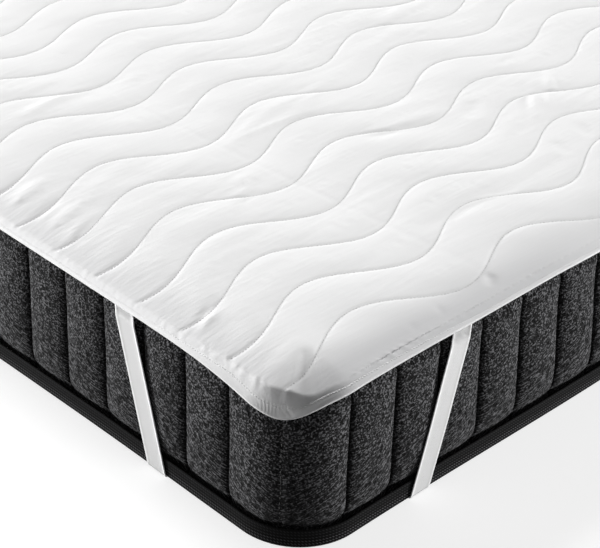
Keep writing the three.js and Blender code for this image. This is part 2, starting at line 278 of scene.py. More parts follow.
@dataclass(frozen=True)
class Outline:
    """The outline over the crests of the side rolls: a rectangle with rounded corners."""

    width: float
    length: float
    radius: float = 75.0
    swell: float = 8.2
    end_ease: Span = (0.0, 400.0)
    side_ease: Span = (120.0, 700.0)
    arc: float = field(init=False)
    starts: Array = field(init=False)
    total: float = field(init=False)

    def __post_init__(self) -> None:
        """Work out the lengths that follow from the size."""
        arc = 0.5 * math.pi * self.radius
        short, long = self.width - 2.0 * self.radius, self.length - 2.0 * self.radius
        ends = np.cumsum([arc + short, arc + long, arc + short, arc + long])
        object.__setattr__(self, "arc", arc)
        object.__setattr__(self, "starts", np.concatenate([[0.0], ends[:-1]]))
        object.__setattr__(self, "total", float(ends[-1]))

    def place(self, distance: Array, inset: Array | float) -> tuple[Array, Array]:
        """Give the plan place at a distance along the outline.

        Args:
            distance: How far along.
            inset: How far in along the normal.

        Returns:
            The places' x and y.
        """
        along = np.mod(distance, self.total)
        k = np.searchsorted(self.starts, along, side="right") - 1
        past = along - self.starts[k]
        on_arc = np.minimum(past, self.arc)
        heading = CORNER_NORMAL[k] + on_arc / self.radius
        out_x, out_y = np.cos(heading), np.sin(heading)
        x = CORNER_X[k] * (self.width / 2 - self.radius) + out_x * (self.radius - inset)
        y = CORNER_Y[k] * (self.length / 2 - self.radius) + out_y * (self.radius - inset)
        return x - out_y * (past - on_arc), y + out_x * (past - on_arc)

    def locate(self, x: Array, y: Array) -> tuple[Array, Array]:
        """Give the distance along the outline and the inset of plan places.

        Args:
            x: The places' x.
            y: The places' y.

        Returns:
            The distances and the insets.
        """
        half_x, half_y = self.width / 2 - self.radius, self.length / 2 - self.radius
        over_x, over_y = np.abs(x) - half_x, np.abs(y) - half_y
        rounded = (over_x > 0) & (over_y > 0)
        straight = self.radius - np.maximum(over_x, over_y)
        inset = np.where(rounded, self.radius - np.hypot(over_x, over_y), straight)
        k = np.where(y < 0, np.where(x < 0, 0, 1), np.where(x < 0, 3, 2))
        heading = np.arctan2(np.sign(y) * over_y, np.sign(x) * over_x)
        turn = np.mod(heading - CORNER_NORMAL[k] + 0.5, TURN) - 0.5
        on_arc = self.starts[k] + self.radius * turn
        side = np.where(x < 0, self.starts[3] + half_y - y, self.starts[1] + half_y + y)
        end = np.where(y < 0, self.starts[0] + half_x + x, self.starts[2] + half_x - x)
        on_side = self.arc + np.where(over_x > over_y, side, end)
        return np.mod(np.where(rounded, on_arc, on_side), self.total), inset

    def wrapped(self, distance: Array) -> Array:
        """Give a distance along the outline as the shortest way round from 0, before or after it."""
        return distance - self.total * np.round(distance / self.total)

    def belly(self, distance: Array) -> Array:
        """Give how far the foot of the border swells outward, most in the middle of each side.

        Args:
            distance: Distances along the outline.

        Returns:
            How far out, in millimetres.
        """
        along = np.mod(distance, self.total)
        k = np.searchsorted(self.starts, along, side="right") - 1
        past = along - self.starts[k] - self.arc
        runs = np.append(self.starts[1:], self.total) - self.starts - self.arc
        from_end = np.minimum(past, runs[k] - past)
        at_end, at_side = smoothstep(*self.end_ease, from_end), smoothstep(*self.side_ease, from_end)
        return self.swell * np.where(k % 2 == 0, at_end, at_side)

    def stations(self, near_step: float, far_step: float, near_reach: float) -> Array:
        """Give stations right round, closer together near the corner that they start at.

        Args:
            near_step: The step near that corner.
            far_step: The step elsewhere.
            near_reach: How far from the corner's middle the closer stations go.

        Returns:
            The stations' distances, in order.
        """
        middle = self.arc / 2
        near = 2 * near_reach
        far = self.total - near
        first = np.arange(round(near / near_step)) * (near / round(near / near_step))
        rest = np.arange(round(far / far_step)) * (far / round(far / far_step))
        return middle - near_reach + np.concatenate([first, near + rest])


class Leaf(Enum):
    """The ellipses that shape the rounded edge: reach out from their centre, and rise."""

    UNDER = (35.0, 20.4)
    MIDDLE = (34.65, 26.2)
    OVER = (34.3, 32.0)


# How far up the rim the binding shows: the distance past a corner's start, and the angle.
BINDING_SHOWS = (
    (-150, 43.5),
    (-86, 47.0),
    (-28, 51.0),
    (15, 48.5),
    (60, 48.5),
    (84, 50.0),
    (215, 47.5),
    (300, 43.5),
)


@dataclass(frozen=True)
class RoundedEdge:
    """The bed's rounded top edge, and how the pad's rim hangs and slides on it near its corners."""

    outline: Outline
    reach: float = 32.0
    centre_height: float = 152.0
    drop_depth: float = 20.5
    drop_gentle: float = 0.17
    deepest: float = 36.0
    drop_before: float = 66.0
    drop_after: float = 47.0
    power_before: float = 1.4
    power_after: float = 1.8
    gentle_reach: float = 90.0
    gentle_power: float = 1.5
    eased: Span = (42.0, 78.0)
    eased_until: float = 400.0
    eased_share: float = 0.75
    fold_start: float = 2.5
    fold_end: float = 14.5
    slide_near: float = 2.0
    slide_far: float = 3.4
    slide_starts: Span = (50.0, 94.0)
    near_ends: Span = (215.0, 290.0)
    far_ends: Span = (380.0, 500.0)

    def height(self, leaf: Leaf, inset: Array) -> Array:
        """Give an ellipse's height at an inset, level beyond its top.

        Args:
            leaf: Which ellipse.
            inset: How far in from the crests.

        Returns:
            The height above the floor.
        """
        reach, rise = leaf.value
        share = np.clip((self.reach - inset) / reach, 0.0, 0.999)
        return self.centre_height + rise * np.sqrt(1.0 - share**2)

    def on(self, leaf: Leaf, degrees: Array, off: Array = 0.0, past: Array = 0.0) -> tuple[Array, Array]:
        """Give a place at an angle on an ellipse, moved off it and on past it.

        Args:
            leaf: Which ellipse.
            degrees: The angle above level.
            off: How far out along the normal.
            past: How far on along the tangent, down and outward.

        Returns:
            How far in from the crests, and the height.
        """
        reach, rise = leaf.value
        angle = np.radians(degrees)
        normal_out, normal_up = np.cos(angle) / reach, np.sin(angle) / rise
        size = np.hypot(normal_out, normal_up)
        normal_out, normal_up = normal_out / size, normal_up / size
        out = -self.reach + reach * np.cos(angle) + off * normal_out + past * normal_up
        up = self.centre_height + rise * np.sin(angle) + off * normal_up - past * normal_out
        return -out, up

    def past_corners(self, distance: Array) -> list[Array]:
        """Give distances past the start of each corner's arc, before it as less than 0."""
        return [self.outline.wrapped(distance - start) for start in self.outline.starts]

    def drop(self, distance: Array, inset: Array) -> Array:
        """Give how far the rim hangs below its usual height, most at each corner.

        Args:
            distance: Distances along the outline.
            inset: How far in from the crests.

        Returns:
            How much lower the places are.
        """
        near, eased = 0.0, 0.0
        for past in self.past_corners(distance):
            from_deepest = past - self.deepest
            before = np.abs(from_deepest / self.drop_before) ** self.power_before
            after = np.abs(from_deepest / self.drop_after) ** self.power_after
            near = near + np.exp(-np.where(from_deepest < 0, before, after))
            eased = eased + smoothstep(*self.eased, past) * (past < self.eased_until)
        gentle = np.clip(1.0 - inset / self.gentle_reach, 0.0, 1.0) ** self.gentle_power
        steep = 1.0 - smoothstep(self.fold_start, self.fold_end, inset)
        mild = self.drop_gentle + (1.0 - self.drop_gentle) * self.eased_share * eased
        return self.drop_depth * near * (mild * gentle + (1.0 - mild) * steep)

    def slide(self, distance: Array) -> Array:
        """Give how far the rim is drawn in and up beside each corner.

        Args:
            distance: Distances along the outline.

        Returns:
            Degrees of the rim's ellipse.
        """
        drawn = 0.0
        for past in self.past_corners(distance):
            near = self.slide_near * (1.0 - smoothstep(*self.near_ends, past))
            far = self.slide_far * (1.0 - smoothstep(*self.far_ends, past))
            drawn = drawn + smoothstep(*self.slide_starts, past) * (near + far)
        return drawn

    def slide_share(self, distance: Array) -> Array:
        """Give the rim's slide as a share of the most that it slides."""
        return self.slide(distance) / (self.slide_near + self.slide_far)

    def bound_angle(self, distance: Array) -> Array:
        """Give the angle that the binding's inner edge reaches up to, higher beside each corner.

        Args:
            distance: Distances along the outline.

        Returns:
            The angles on the rim's ellipse, in degrees.
        """
        low = BINDING_SHOWS[0][1]
        places, angles = np.array(BINDING_SHOWS).T
        return low + sum(np.interp(past, places, angles - low) for past in self.past_corners(distance))


# ---- The quilting ----


@dataclass(frozen=True)
class QuiltPattern:
    """The wave-shaped stitch lines, measured from the bed's corner at -X and -Y."""

    corner_x: float
    corner_y: float
    pitch: float = 63.2
    first_line: float = 66.2
    drift: float = -0.0158
    count: int = 31
    wave_length: float = 232.3
    wave_height: float = 20.6
    wave_start: float = 88.6
    sway: float = 1.6
    sway_size: float = 170.0
    sag: float = 9.0
    sag_starts: Span = (230.0, 420.0)
    sag_middle: float = 50.0
    sag_width: float = 45.0
    stitch: float = 3.2
    spare: float = 30.0

    def line(self, x: Array) -> Array:
        """Give how far a line stands from its own middle.

        Args:
            x: Places across the bed.

        Returns:
            How far along the bed from the line's middle.
        """
        across = x - self.corner_x
        turn = TURN * (across - self.wave_start) / self.wave_length
        return self.wave_height * np.sin(turn) + self.drift * across

    def slope(self, x: Array) -> Array:
        """Give a line's rise for each run across the bed.

        Args:
            x: Places across the bed.

        Returns:
            The slopes.
        """
        rate = TURN / self.wave_length
        turn = rate * (x - self.corner_x - self.wave_start)
        return self.wave_height * rate * np.cos(turn) + self.drift

    def shift(self, x: Array, y: Array) -> Array:
        """Give how far the sewing strays from the pattern, along the bed.

        Args:
            x: The places' x.
            y: The places' y.

        Returns:
            How far the lines are moved.
        """
        stray = self.sway * gradient_noise(x / self.sway_size, y / self.sway_size, Noise.STRAY)
        across = smoothstep(*self.sag_starts, x - self.corner_x)
        along = np.exp(-(((y - self.corner_y - self.sag_middle) / self.sag_width) ** 2))
        return stray - self.sag * across * along

    def rows(self, x: Array, y: Array) -> Array:
        """Give the place across the lines, in pitches from the first line."""
        up = y - self.corner_y - self.first_line - self.line(x) - self.shift(x, y)
        return up / self.pitch

    def line_place(self, x: Array, row: Array | float) -> Array:
        """Give the y of a place that stands a number of pitches past the first line.

        Args:
            x: Places across the bed.
            row: Pitches past the first line.

        Returns:
            The places' y.
        """
        straight = self.corner_y + self.first_line + self.line(x) + row * self.pitch
        y = straight
        for _ in range(3):
            y = straight + self.shift(x, y)
        return y

    def gap(self, x: Array, y: Array) -> tuple[Array, Array, Array]:
        """Measure places against the nearest stitch line.

        Args:
            x: The places' x.
            y: The places' y.

        Returns:
            The line's number, the signed square distance to it, and the share of the way to the
            middle of the channel.
        """
        row = self.rows(x, y)
        nearest = np.clip(np.round(row), 0, self.count - 1)
        off = row - nearest
        square = off * self.pitch / np.sqrt(1.0 + self.slope(x) ** 2)
        return nearest, square, np.clip(2.0 * np.abs(off), 0.0, 1.0)

    def travel(self, x: Array) -> Array:
        """Give the length of stitch line from the side at -X to a place across the bed.

        Args:
            x: Places across the bed.

        Returns:
            The lengths.
        """
        steps = np.arange(-self.spare, 2.0 * abs(self.corner_x) + self.spare + 1.0, 1.0)
        lengths = np.cumsum(np.sqrt(1.0 + self.slope(steps + self.corner_x) ** 2))
        return np.interp(x - self.corner_x, steps, lengths)


@dataclass(frozen=True)
class Crease:
    """A soft ridge or trough in the cover, from one place to another, measured from the corner."""

    from_x: float
    from_y: float
    to_x: float
    to_y: float
    width: float
    height: float
    bow: float = 0.0
    fade: Span = (-0.12, 0.3)

    def lift(self, across: Array, along: Array) -> Array:
        """Give how far the crease lifts the cover.

        Args:
            across: Places across the bed, from the corner.
            along: Places along the bed, from the corner.

        Returns:
            The height that it adds.
        """
        run_x, run_y = self.to_x - self.from_x, self.to_y - self.from_y
        length = math.hypot(run_x, run_y)
        run_x, run_y = run_x / length, run_y / length
        dx, dy = across - self.from_x, along - self.from_y
        t = (dx * run_x + dy * run_y) / length
        side = dy * run_x - dx * run_y - self.bow * 4.0 * t * (1.0 - t)
        ends = smoothstep(*self.fade, t) * smoothstep(*self.fade, 1.0 - t)
        return self.height * ends * np.exp(-((side / self.width) ** 2))


# Creases that the filling and the folding have left, listed one by one: from, to, width, height and
# bow, in millimetres from the bed's corner at -X and -Y.
CREASES = (
    Crease(150, 605, 260, 618, 5.0, 0.9, 8.0),
    Crease(158, 592, 250, 602, 5.0, -0.7, 8.0),
    Crease(200, 306, 240, 318, 6.0, 1.2, 3.0),
    Crease(203, 297, 238, 306, 6.0, -1.0, 3.0),
    Crease(410, 325, 530, 305, 6.5, 1.5, -5.0),
    Crease(412, 313, 470, 306, 7.0, -1.3, -3.0),
    Crease(285, 408, 435, 398, 4.5, 1.0, 3.0),
    Crease(355, 402, 440, 415, 4.0, 0.9, 0.0),
    Crease(20, 350, 95, 382, 6.0, -0.8, 0.0),
    Crease(22, 366, 92, 386, 5.0, 0.7, 0.0),
    Crease(18, 412, 66, 426, 4.5, 0.7, 0.0),
    Crease(16, 455, 100, 476, 5.0, 0.9, 2.0),
    Crease(30, 398, 110, 416, 5.0, 0.7, 0.0),
    Crease(300, 143, 560, 138, 11.0, -1.2, -4.0),
    Crease(400, 152, 470, 150, 7.0, -0.9, 0.0),
    Crease(548, 140, 562, 170, 7.0, -1.1, 0.0),
    Crease(602, 150, 618, 178, 7.0, -1.1, 0.0),
    Crease(535, 270, 572, 294, 9.0, -1.2, 0.0),
    Crease(590, 216, 640, 262, 5.0, 1.3, 0.0),
    Crease(622, 222, 676, 270, 5.0, 1.2, 0.0),
    Crease(652, 240, 700, 290, 5.0, 1.1, 0.0),
    Crease(600, 240, 652, 290, 6.0, -0.9, 0.0),
    Crease(620, 505, 760, 528, 5.0, 1.1, 4.0),
    Crease(640, 520, 750, 540, 5.0, 0.9, 3.0),
    Crease(300, 412, 430, 446, 5.0, 0.9, 3.0),
    Crease(330, 404, 460, 432, 4.5, 0.8, -3.0),
    Crease(297, 40, 266, 570, 3.0, -0.5, 3.0),
    Crease(10, 163, 54, 179, 3.0, -3.2, 0.0),
    Crease(12, 155, 52, 170, 3.5, 1.6, 0.0),
    Crease(26, 416, 62, 428, 4.0, -0.8, 3.0),
    Crease(24, 352, 86, 380, 4.0, -0.7, 5.0),
    Crease(284, 24, 298, 40, 5.0, -2.4, 0.0),
    Crease(168, 6, 176, 34, 4.0, -1.2, 0.0),
    Crease(208, 6, 217, 38, 4.0, -1.2, 0.0),
)


@dataclass(frozen=True)
class CoverWrinkles:
    """The soft dents, lengthwise creases and gathers that the filling and the thread leave in the cover."""

    pattern: QuiltPattern
    calm_starts: Span = (90.0, 260.0)
    calm_ends: Span = (620.0, 900.0)
    dent_height: float = 0.42
    dent_size: Span = (62.0, 34.0)
    streak_height: float = 0.28
    streak_size: Span = (95.0, 7.5)
    fine_streak_size: Span = (60.0, 5.0)
    streak_patch: Span = (150.0, 105.0)
    gather_height: float = 0.22
    gather_size: Span = (8.5, 34.0)
    gather_reach: float = 11.0
    gather_patch: float = 85.0
    crease_share: float = 0.6

    def height(self, x: Array, y: Array, row: Array, square: Array, share: Array) -> Array:
        """Give the height of the cover's soft dents, lengthwise creases and gathers.

        Args:
            x: The places' x.
            y: The places' y.
            row: The number of the nearest line.
            square: The signed square distance to it.
            share: The share of the way to the channel's middle.

        Returns:
            The height that they add.
        """
        across, along = x - self.pattern.corner_x, y - self.pattern.corner_y
        size_x, size_y = self.dent_size
        dents = self.dent_height * gradient_noise(x / size_x, y / size_y + 7.0 * row, Noise.DENTS)
        calm = smoothstep(*self.calm_starts, along) * (1.0 - 0.75 * smoothstep(*self.calm_ends, along))
        streaks = self.streaks(x, y, across, along) * calm * smoothstep(0.04, 0.3, share)
        gathers = self.gathers(x, row, square) * (0.35 + 0.65 * calm)
        lifted = self.crease_share * sum(crease.lift(across, along) for crease in CREASES)
        return dents + streaks + gathers + lifted * smoothstep(0.02, 0.2, share)

    def streaks(self, x: Array, y: Array, across: Array, along: Array) -> Array:
        """Give the height of the creases that run lengthwise in the channels, in patches.

        Args:
            x: The places' x.
            y: The places' y.
            across: The places across the bed, from its corner.
            along: The places along the bed, from its corner.

        Returns:
            The height that they add.
        """
        size_x, size_y = self.streak_size
        fine_x, fine_y = self.fine_streak_size
        patch_x, patch_y = self.streak_patch
        wide = gradient_noise(across / size_x, (along - 0.10 * across) / size_y, Noise.STREAKS)
        turned = (along + 0.12 * across) / fine_y
        fine = gradient_noise(across / fine_x + 9.0, turned, Noise.FINE_STREAKS)
        patches = gradient_noise(x / patch_x, y / patch_y, Noise.STREAK_PATCHES)
        return self.streak_height * (wide + 0.6 * fine) * smoothstep(-0.25, 0.55, patches + 0.15)

    def gathers(self, x: Array, row: Array, square: Array) -> Array:
        """Give the height of the short gathers that the thread pulls beside a stitch line.

        Args:
            x: The places' x.
            row: The number of the nearest line.
            square: The signed square distance to it.

        Returns:
            The height that they add.
        """
        travel = self.pattern.travel(x)
        size_along, size_across = self.gather_size
        leaning = (travel + 0.35 * square) / size_along
        waves = gradient_noise(leaning, row * 3.7 + square / size_across, Noise.GATHERS)
        pull = np.exp(-np.abs(square) / self.gather_reach) * smoothstep(0.6, 3.0, np.abs(square))
        pulled = gradient_noise(travel / self.gather_patch, row * 5.3, Noise.PULLED)
        return self.gather_height * waves * pull * (0.15 + 0.85 * smoothstep(-0.1, 0.6, pulled))


@dataclass(frozen=True)
class HemFolds:
    """The gathers along the hem, and the pleats and slanting tucks at the first corner."""

    edge: RoundedEdge
    gathered_before: Span = (-130.0, -60.0)
    gathered_until: Span = (5.0, 30.0)
    gathered_after: Span = (110.0, 160.0)
    gathered_end: Span = (210.0, 270.0)
    patch_length: float = 90.0
    lean: float = 0.8
    wave: Span = (5.2, 22.0)
    fine_wave: Span = (3.0, 12.0)
    wave_limits: Span = (-0.7, 0.9)
    seam_gap: float = 1.5
    reach_in: float = 5.5
    reach_out: float = 3.4
    pleat_height: float = 0.4
    pleat_pitch: float = 3.6
    pleat_place: float = 24.0
    pleat_reach: float = 10.0
    tuck_depth: float = 1.2
    tuck_place: float = 49.0
    tuck_slant: float = 1.9
    tuck_gap: float = 5.0

    def height(self, distance: Array, inset: Array) -> Array:
        """Give the height that all the folds add.

        Args:
            distance: Distances along the outline.
            inset: How far in, as it would be without the rim's slide.

        Returns:
            The height.
        """
        past = self.edge.outline.wrapped(distance)
        return self.gathers(distance, past, inset) + self.corner_folds(past, inset)

    def gathers(self, distance: Array, past: Array, inset: Array) -> Array:
        """Give the height of the gathers beside the binding's seam.

        Args:
            distance: Distances along the outline.
            past: The same, from the first corner's start, before it as less than 0.
            inset: How far in, as it would be without the rim's slide.

        Returns:
            The height that they add.
        """
        seam = self.edge.on(Leaf.MIDDLE, self.edge.bound_angle(distance))[0]
        before = smoothstep(*self.gathered_before, past) * (1.0 - smoothstep(*self.gathered_until, past))
        after = smoothstep(*self.gathered_after, past) * (1.0 - smoothstep(*self.gathered_end, past))
        patches = smoothstep(-0.1, 0.7, gradient_noise(distance / self.patch_length, 0.5, Noise.HEM_PATCHES))
        leaning = distance + self.lean * (inset - seam)
        (long, deep), (fine_long, fine_deep) = self.wave, self.fine_wave
        waves = gradient_noise(leaning / long, inset / deep, Noise.HEM_WAVES)
        waves = waves + 0.6 * gradient_noise(leaning / fine_long, inset / fine_deep, Noise.FINE_HEM_WAVES)
        waves = np.clip(waves, *self.wave_limits)
        from_seam = inset - seam - self.seam_gap
        near = np.exp(-((from_seam / np.where(from_seam > 0, self.reach_in, self.reach_out)) ** 2))
        return waves * (0.08 + 0.18 * patches + 0.5 * before + 0.4 * after) * near

    def corner_folds(self, past: Array, inset: Array) -> Array:
        """Give narrow curved pleats before the corner's middle, and two steep slanting tucks past it.

        Args:
            past: Distances from the first corner's start.
            inset: How far in, as it would be without the rim's slide.

        Returns:
            The height that they add.
        """
        from_pleats = np.hypot(past - self.pleat_place / 2, 1.5 * (inset - 2.0))
        pleats = np.cos(TURN * from_pleats / self.pleat_pitch)
        pleats = pleats * np.exp(-(((past - self.pleat_place) / self.pleat_reach) ** 2))
        slanted = past - self.tuck_place + self.tuck_slant * (inset - 4.0)
        tucks = np.exp(-((slanted / 2.2) ** 2)) + 0.6 * np.exp(-(((slanted + self.tuck_gap) / 1.8) ** 2))
        within = smoothstep(1.0, 5.0, inset) * (1.0 - smoothstep(11.0, 15.0, inset))
        return (self.pleat_height * pleats - self.tuck_depth * tucks) * within


@dataclass(frozen=True)
class QuiltedPad:
    """The filled pad: a cover sewn down in waves, thin at its rim, over the mattress."""

    edge: RoundedEdge
    pattern: QuiltPattern
    underside: float = 172.4
    stitched_height: float = 181.4
    crest_height: float = 183.0
    rim_half: float = 1.5
    rim_angles: tuple[float, ...] = (57.5, 54.0, 51.0, 48.0, 45.0, 42.0, 39.5, 37.6)
    shoulder: float = 75.0
    end_pull: float = 0.4
    rim_inset: float = 12.75
    slide_reach: float = 30.0
    fringe_inset: float = 42.5
    line_clear: float = 3.3
    first_row_inset: float = 17.4
    near_x: float = 905.0
    near_y: float = 890.0
    near_reach: float = 900.0
    dome_share: float = 0.58
    pinch_width: float = 0.9
    shell_power: float = 1.6
    room_at_rim: float = 0.12
    room_reach: Span = (14.0, 80.0)
    wrinkles_from: Span = (16.0, 46.0)
    end_reach: Span = (24.0, 58.0)
    end_width: float = 1.2
    # The rim's greyer colour: partly the dark border showing through the thin cloth, and partly painted
    # shade where the rim is drawn in.
    thin_at_rim: float = 0.45
    thin_where_drawn: float = 0.6
    thin_until: float = 68.0
    thin_beyond: float = 0.15
    thin_beyond_reach: Span = (50.0, 170.0)

    def sunken(self, square: Array, share: Array, room: Array) -> Array:
        """Give how deep the cover lies below a channel's crest, as a share of the loft.

        Args:
            square: The square distance to the stitch line.
            share: The share of the way to the channel's middle.
            room: The share of the filling that there is room for.

        Returns:
            The share of the loft.
        """
        dome = (1.0 - share) ** 2.0
        pinch = np.exp(-np.abs(square) / self.pinch_width)
        return self.dome_share * dome * room + (1.0 - self.dome_share) * pinch * (0.5 + 0.5 * room)

    def height(self, x: Array, y: Array) -> Array:
        """Give the height of the pad's top at plan places.

        Args:
            x: The places' x.
            y: The places' y.

        Returns:
            The height above the floor.
        """
        distance, inset = self.edge.outline.locate(x, y)
        row, square, share = self.pattern.gap(x, y)
        from_rim = self.unslid(distance, inset)
        left = np.clip((self.shoulder - from_rim) / (self.shoulder - self.rim_inset), 0.0, 1.0)
        at_rim = self.edge.height(Leaf.MIDDLE, self.rim_place(distance)) + self.rim_half
        shell = self.crest_height - (self.crest_height - at_rim) * left**self.shell_power
        loft = self.crest_height - self.stitched_height
        room = self.room_at_rim + (1.0 - self.room_at_rim) * smoothstep(*self.room_reach, from_rim)
        sunk = loft * self.sunken(square, share, room) + self.line_end(square, from_rim)
        folds = CoverWrinkles(self.pattern).height(x, y, row, square, share)
        folds = folds * smoothstep(*self.wrinkles_from, from_rim)
        hem = HemFolds(self.edge).height(distance, from_rim)
        return shell - sunk + folds + hem - self.edge.drop(distance, inset)

    def line_end(self, square: Array, from_rim: Array) -> Array:
        """Give how much deeper the cover is drawn in where a stitch line runs out at the rim.

        Args:
            square: The square distance to the stitch line.
            from_rim: How far in from the crests, without the rim's slide.

        Returns:
            How much deeper the cover lies.
        """
        near = 1.0 - smoothstep(*self.end_reach, from_rim)
        return self.end_pull * near * np.exp(-np.abs(square) / self.end_width)

    def thinness(self, distance: Array, from_rim: Array) -> Array:
        """Give how grey the cover is painted near its rim: partly the dark border showing through the thin
        cloth, and partly painted shade, most where the rim is drawn in.

        Args:
            distance: Distances along the outline.
            from_rim: How far in from the crests, without the rim's slide.

        Returns:
            The share of the greyer colour, for thin cloth and painted shade, that shows.
        """
        at_rim = self.thin_at_rim + self.thin_where_drawn * self.edge.slide_share(distance)
        near = 1.0 - smoothstep(self.rim_inset, self.thin_until, from_rim)
        return at_rim * near + self.thin_beyond * (1.0 - smoothstep(*self.thin_beyond_reach, from_rim))

    def rim_place(self, distance: Array) -> Array:
        """Give the inset of the top's outermost points, where the rim has slid."""
        angle = self.rim_angles[0] + self.edge.slide(distance)
        return self.edge.on(Leaf.MIDDLE, angle, self.rim_half)[0]

    def slid(self, distance: Array, inset: float) -> Array:
        """Move an inset in with the rim's slide, less and less away from the rim.

        Args:
            distance: Distances along the outline.
            inset: How far in, without the slide.

        Returns:
            How far in, with the slide.
        """
        left = 1.0 - (inset - self.rim_inset) / self.slide_reach
        return inset + (self.rim_place(distance) - self.rim_inset) * left

    def unslid(self, distance: Array, inset: Array) -> Array:
        """Undo slid: give the inset that a place would have without the rim's slide.

        Args:
            distance: Distances along the outline.
            inset: How far in, with the slide.

        Returns:
            How far in, without it.
        """
        pull = self.rim_place(distance) - self.rim_inset
        moved = inset - pull * (1.0 + self.rim_inset / self.slide_reach)
        unslid = moved / (1.0 - pull / self.slide_reach)
        return np.where(inset > self.rim_inset + self.slide_reach, inset, unslid)

    def rim_stations(self) -> Array:
        """Give the stations of the rim's points, right round."""
        return self.edge.outline.stations(2.3, 7.5, self.near_reach)

    def plan_points(self) -> tuple[Array, int]:
        """Give the plan places of the top's points, the rim's first.

        Returns:
            The places, and how many belong to the rim.
        """
        outline, pattern = self.edge.outline, self.pattern
        stations = self.rim_stations()
        tight = (self.rim_inset, 14.3, 16.2)
        rings = [np.stack(outline.place(stations, self.slid(stations, inset)), axis=-1) for inset in tight]
        loose = outline.stations(2.8, 7.5, self.near_reach)
        for inset in (18.4, 21.2, 24.5, 28.0, 31.8, 35.8, 40.0):
            x, y = outline.place(loose, self.slid(loose, inset))
            _, square, _ = pattern.gap(x, y)
            rings.append(np.stack([x, y], axis=-1)[np.abs(square) > self.line_clear])
        near_rows = (0.0, 1.0, 2.4, 4.6, 8.0, 12.4, 17.8, 24.2)
        far_rows = (0.0, 2.4, 8.5, 18.0)
        grids = [
            self.row_points(near_rows, 4.0, True),
            self.row_points(far_rows, 12.2, False),
        ]
        return np.vstack(rings + grids), len(stations)

    def row_points(self, offsets: tuple[float, ...], step: float, near: bool) -> Array:
        """Give places in rows along the stitch lines, and midway between them.

        Args:
            offsets: How far the rows stand from their line, on each side of it.
            step: The step along a row.
            near: Whether to fill the near part of the bed, or all the rest.

        Returns:
            The plan places.
        """
        outline, pattern = self.edge.outline, self.pattern
        places = []
        for number in range(-1, pattern.count + 1):
            real = 0 <= number < pattern.count
            sides = [0.0] + [side * off for off in offsets[1:] for side in (-1.0, 1.0)]
            for off in (sides if real else sides[:1]) + [pattern.pitch / 2]:
                row = number + off / pattern.pitch
                x = pattern.corner_x + np.arange(step / 2, outline.width, step)
                x = x + (0.5 * step if int(abs(off)) % 2 else 0.0)
                y = pattern.line_place(x, row)
                distance, inset = outline.locate(x, y)
                tight = abs(off) < self.line_clear and real
                from_rim = self.unslid(distance, inset)
                inside = from_rim > (self.first_row_inset if tight else self.fringe_inset)
                close = (x < pattern.corner_x + self.near_x) & (y < pattern.corner_y + self.near_y)
                keep = inside & (close if near else ~close)
                places.append(np.stack([x, y], axis=-1)[keep])
        return np.vstack(places)

    def build(self) -> Piece:
        """Build the pad as one closed mesh.

        Returns:
            The new object.
        """
        plan, rim_count = self.plan_points()
        loop = [(i, (i + 1) % rim_count) for i in range(rim_count)]
        found = delaunay_2d_cdt([Vector(p) for p in plan], loop, [], 1, 1e-4, True)
        places = np.array([tuple(v) for v in found[0]])
        number_of = {first: number for number, sources in enumerate(found[3]) for first in sources}
        rim = np.array([number_of[i] for i in range(rim_count)])
        x, y = places[:, 0], places[:, 1]
        parts = MeshParts()
        _, square, _ = self.pattern.gap(x, y)
        travel = self.pattern.travel(x)
        points = np.stack([x, y, self.height(x, y)], axis=-1)
        distance, inset = self.edge.outline.locate(x, y)
        thin = self.thinness(distance, self.unslid(distance, inset))
        parts.add_points(points, seam=np.abs(square), travel=travel, thin=thin)
        parts.triangles.append(np.array(found[2]))
        stations = self.rim_stations()
        folds_here = HemFolds(self.edge)
        rings = [rim]
        for angle in self.rim_angles[1:]:
            slid = angle + self.edge.slide(stations)
            x, y = self.edge.outline.place(stations, self.edge.on(Leaf.MIDDLE, slid, self.rim_half)[0])
            _, square, _ = self.pattern.gap(x, y)
            unslid = np.full_like(stations, self.edge.on(Leaf.MIDDLE, angle, self.rim_half)[0])
            shown = (angle - self.rim_angles[-1]) / (self.rim_angles[0] - self.rim_angles[-1])
            drawn = self.line_end(square, unslid) * (0.2 + 0.8 * shown)
            folds = (0.35 + 0.55 * shown) * folds_here.height(stations, unslid)
            inset, up = self.edge.on(Leaf.MIDDLE, slid, self.rim_half - 0.45 * drawn + folds)
            rings.append(self.ring(parts, stations, inset, up))
        for angle in self.rim_angles[::-2]:
            inset, up = self.edge.on(Leaf.MIDDLE, angle + self.edge.slide(stations), -self.rim_half)
            rings.append(self.ring(parts, stations, inset, up))
        for inset in (16.0, 24.0, 33.0):
            inset = self.slid(stations, inset)
            up = np.minimum(self.edge.height(Leaf.UNDER, inset), self.underside)
            rings.append(self.ring(parts, stations, inset, up))
        parts.add_grid(np.array(rings), closed_columns=True)
        parts.quads[-1] = parts.quads[-1][:, ::-1]
        middle = parts.add_points([[0, 0, self.underside]], seam=30.0, travel=0.0, thin=0.0)
        parts.add_fan(rings[-1][::-1], int(middle[0]))
        return parts.make("quilted_pad_filled")

    def ring(self, parts: MeshParts, stations: Array, inset: Array, up: Array) -> Array:
        """Add one hoop of the rim or the underside.

        Args:
            parts: The mesh being gathered.
            stations: The hoop's stations.
            inset: How far in it stands.
            up: Its height before the corners' drop.

        Returns:
            The hoop's point numbers.
        """
        x, y = self.edge.outline.place(stations, inset)
        z = up - self.edge.drop(stations, inset)
        thin = self.thinness(stations, np.full_like(stations, self.rim_inset))
        return parts.add_points(np.stack([x, y, z], axis=-1), seam=30.0, travel=0.0, thin=thin)

    def dress(self, piece: Piece, finish: Material) -> None:
        fit_piece(piece, Slot.MICROFIBRE, finish, "quilted_pad")


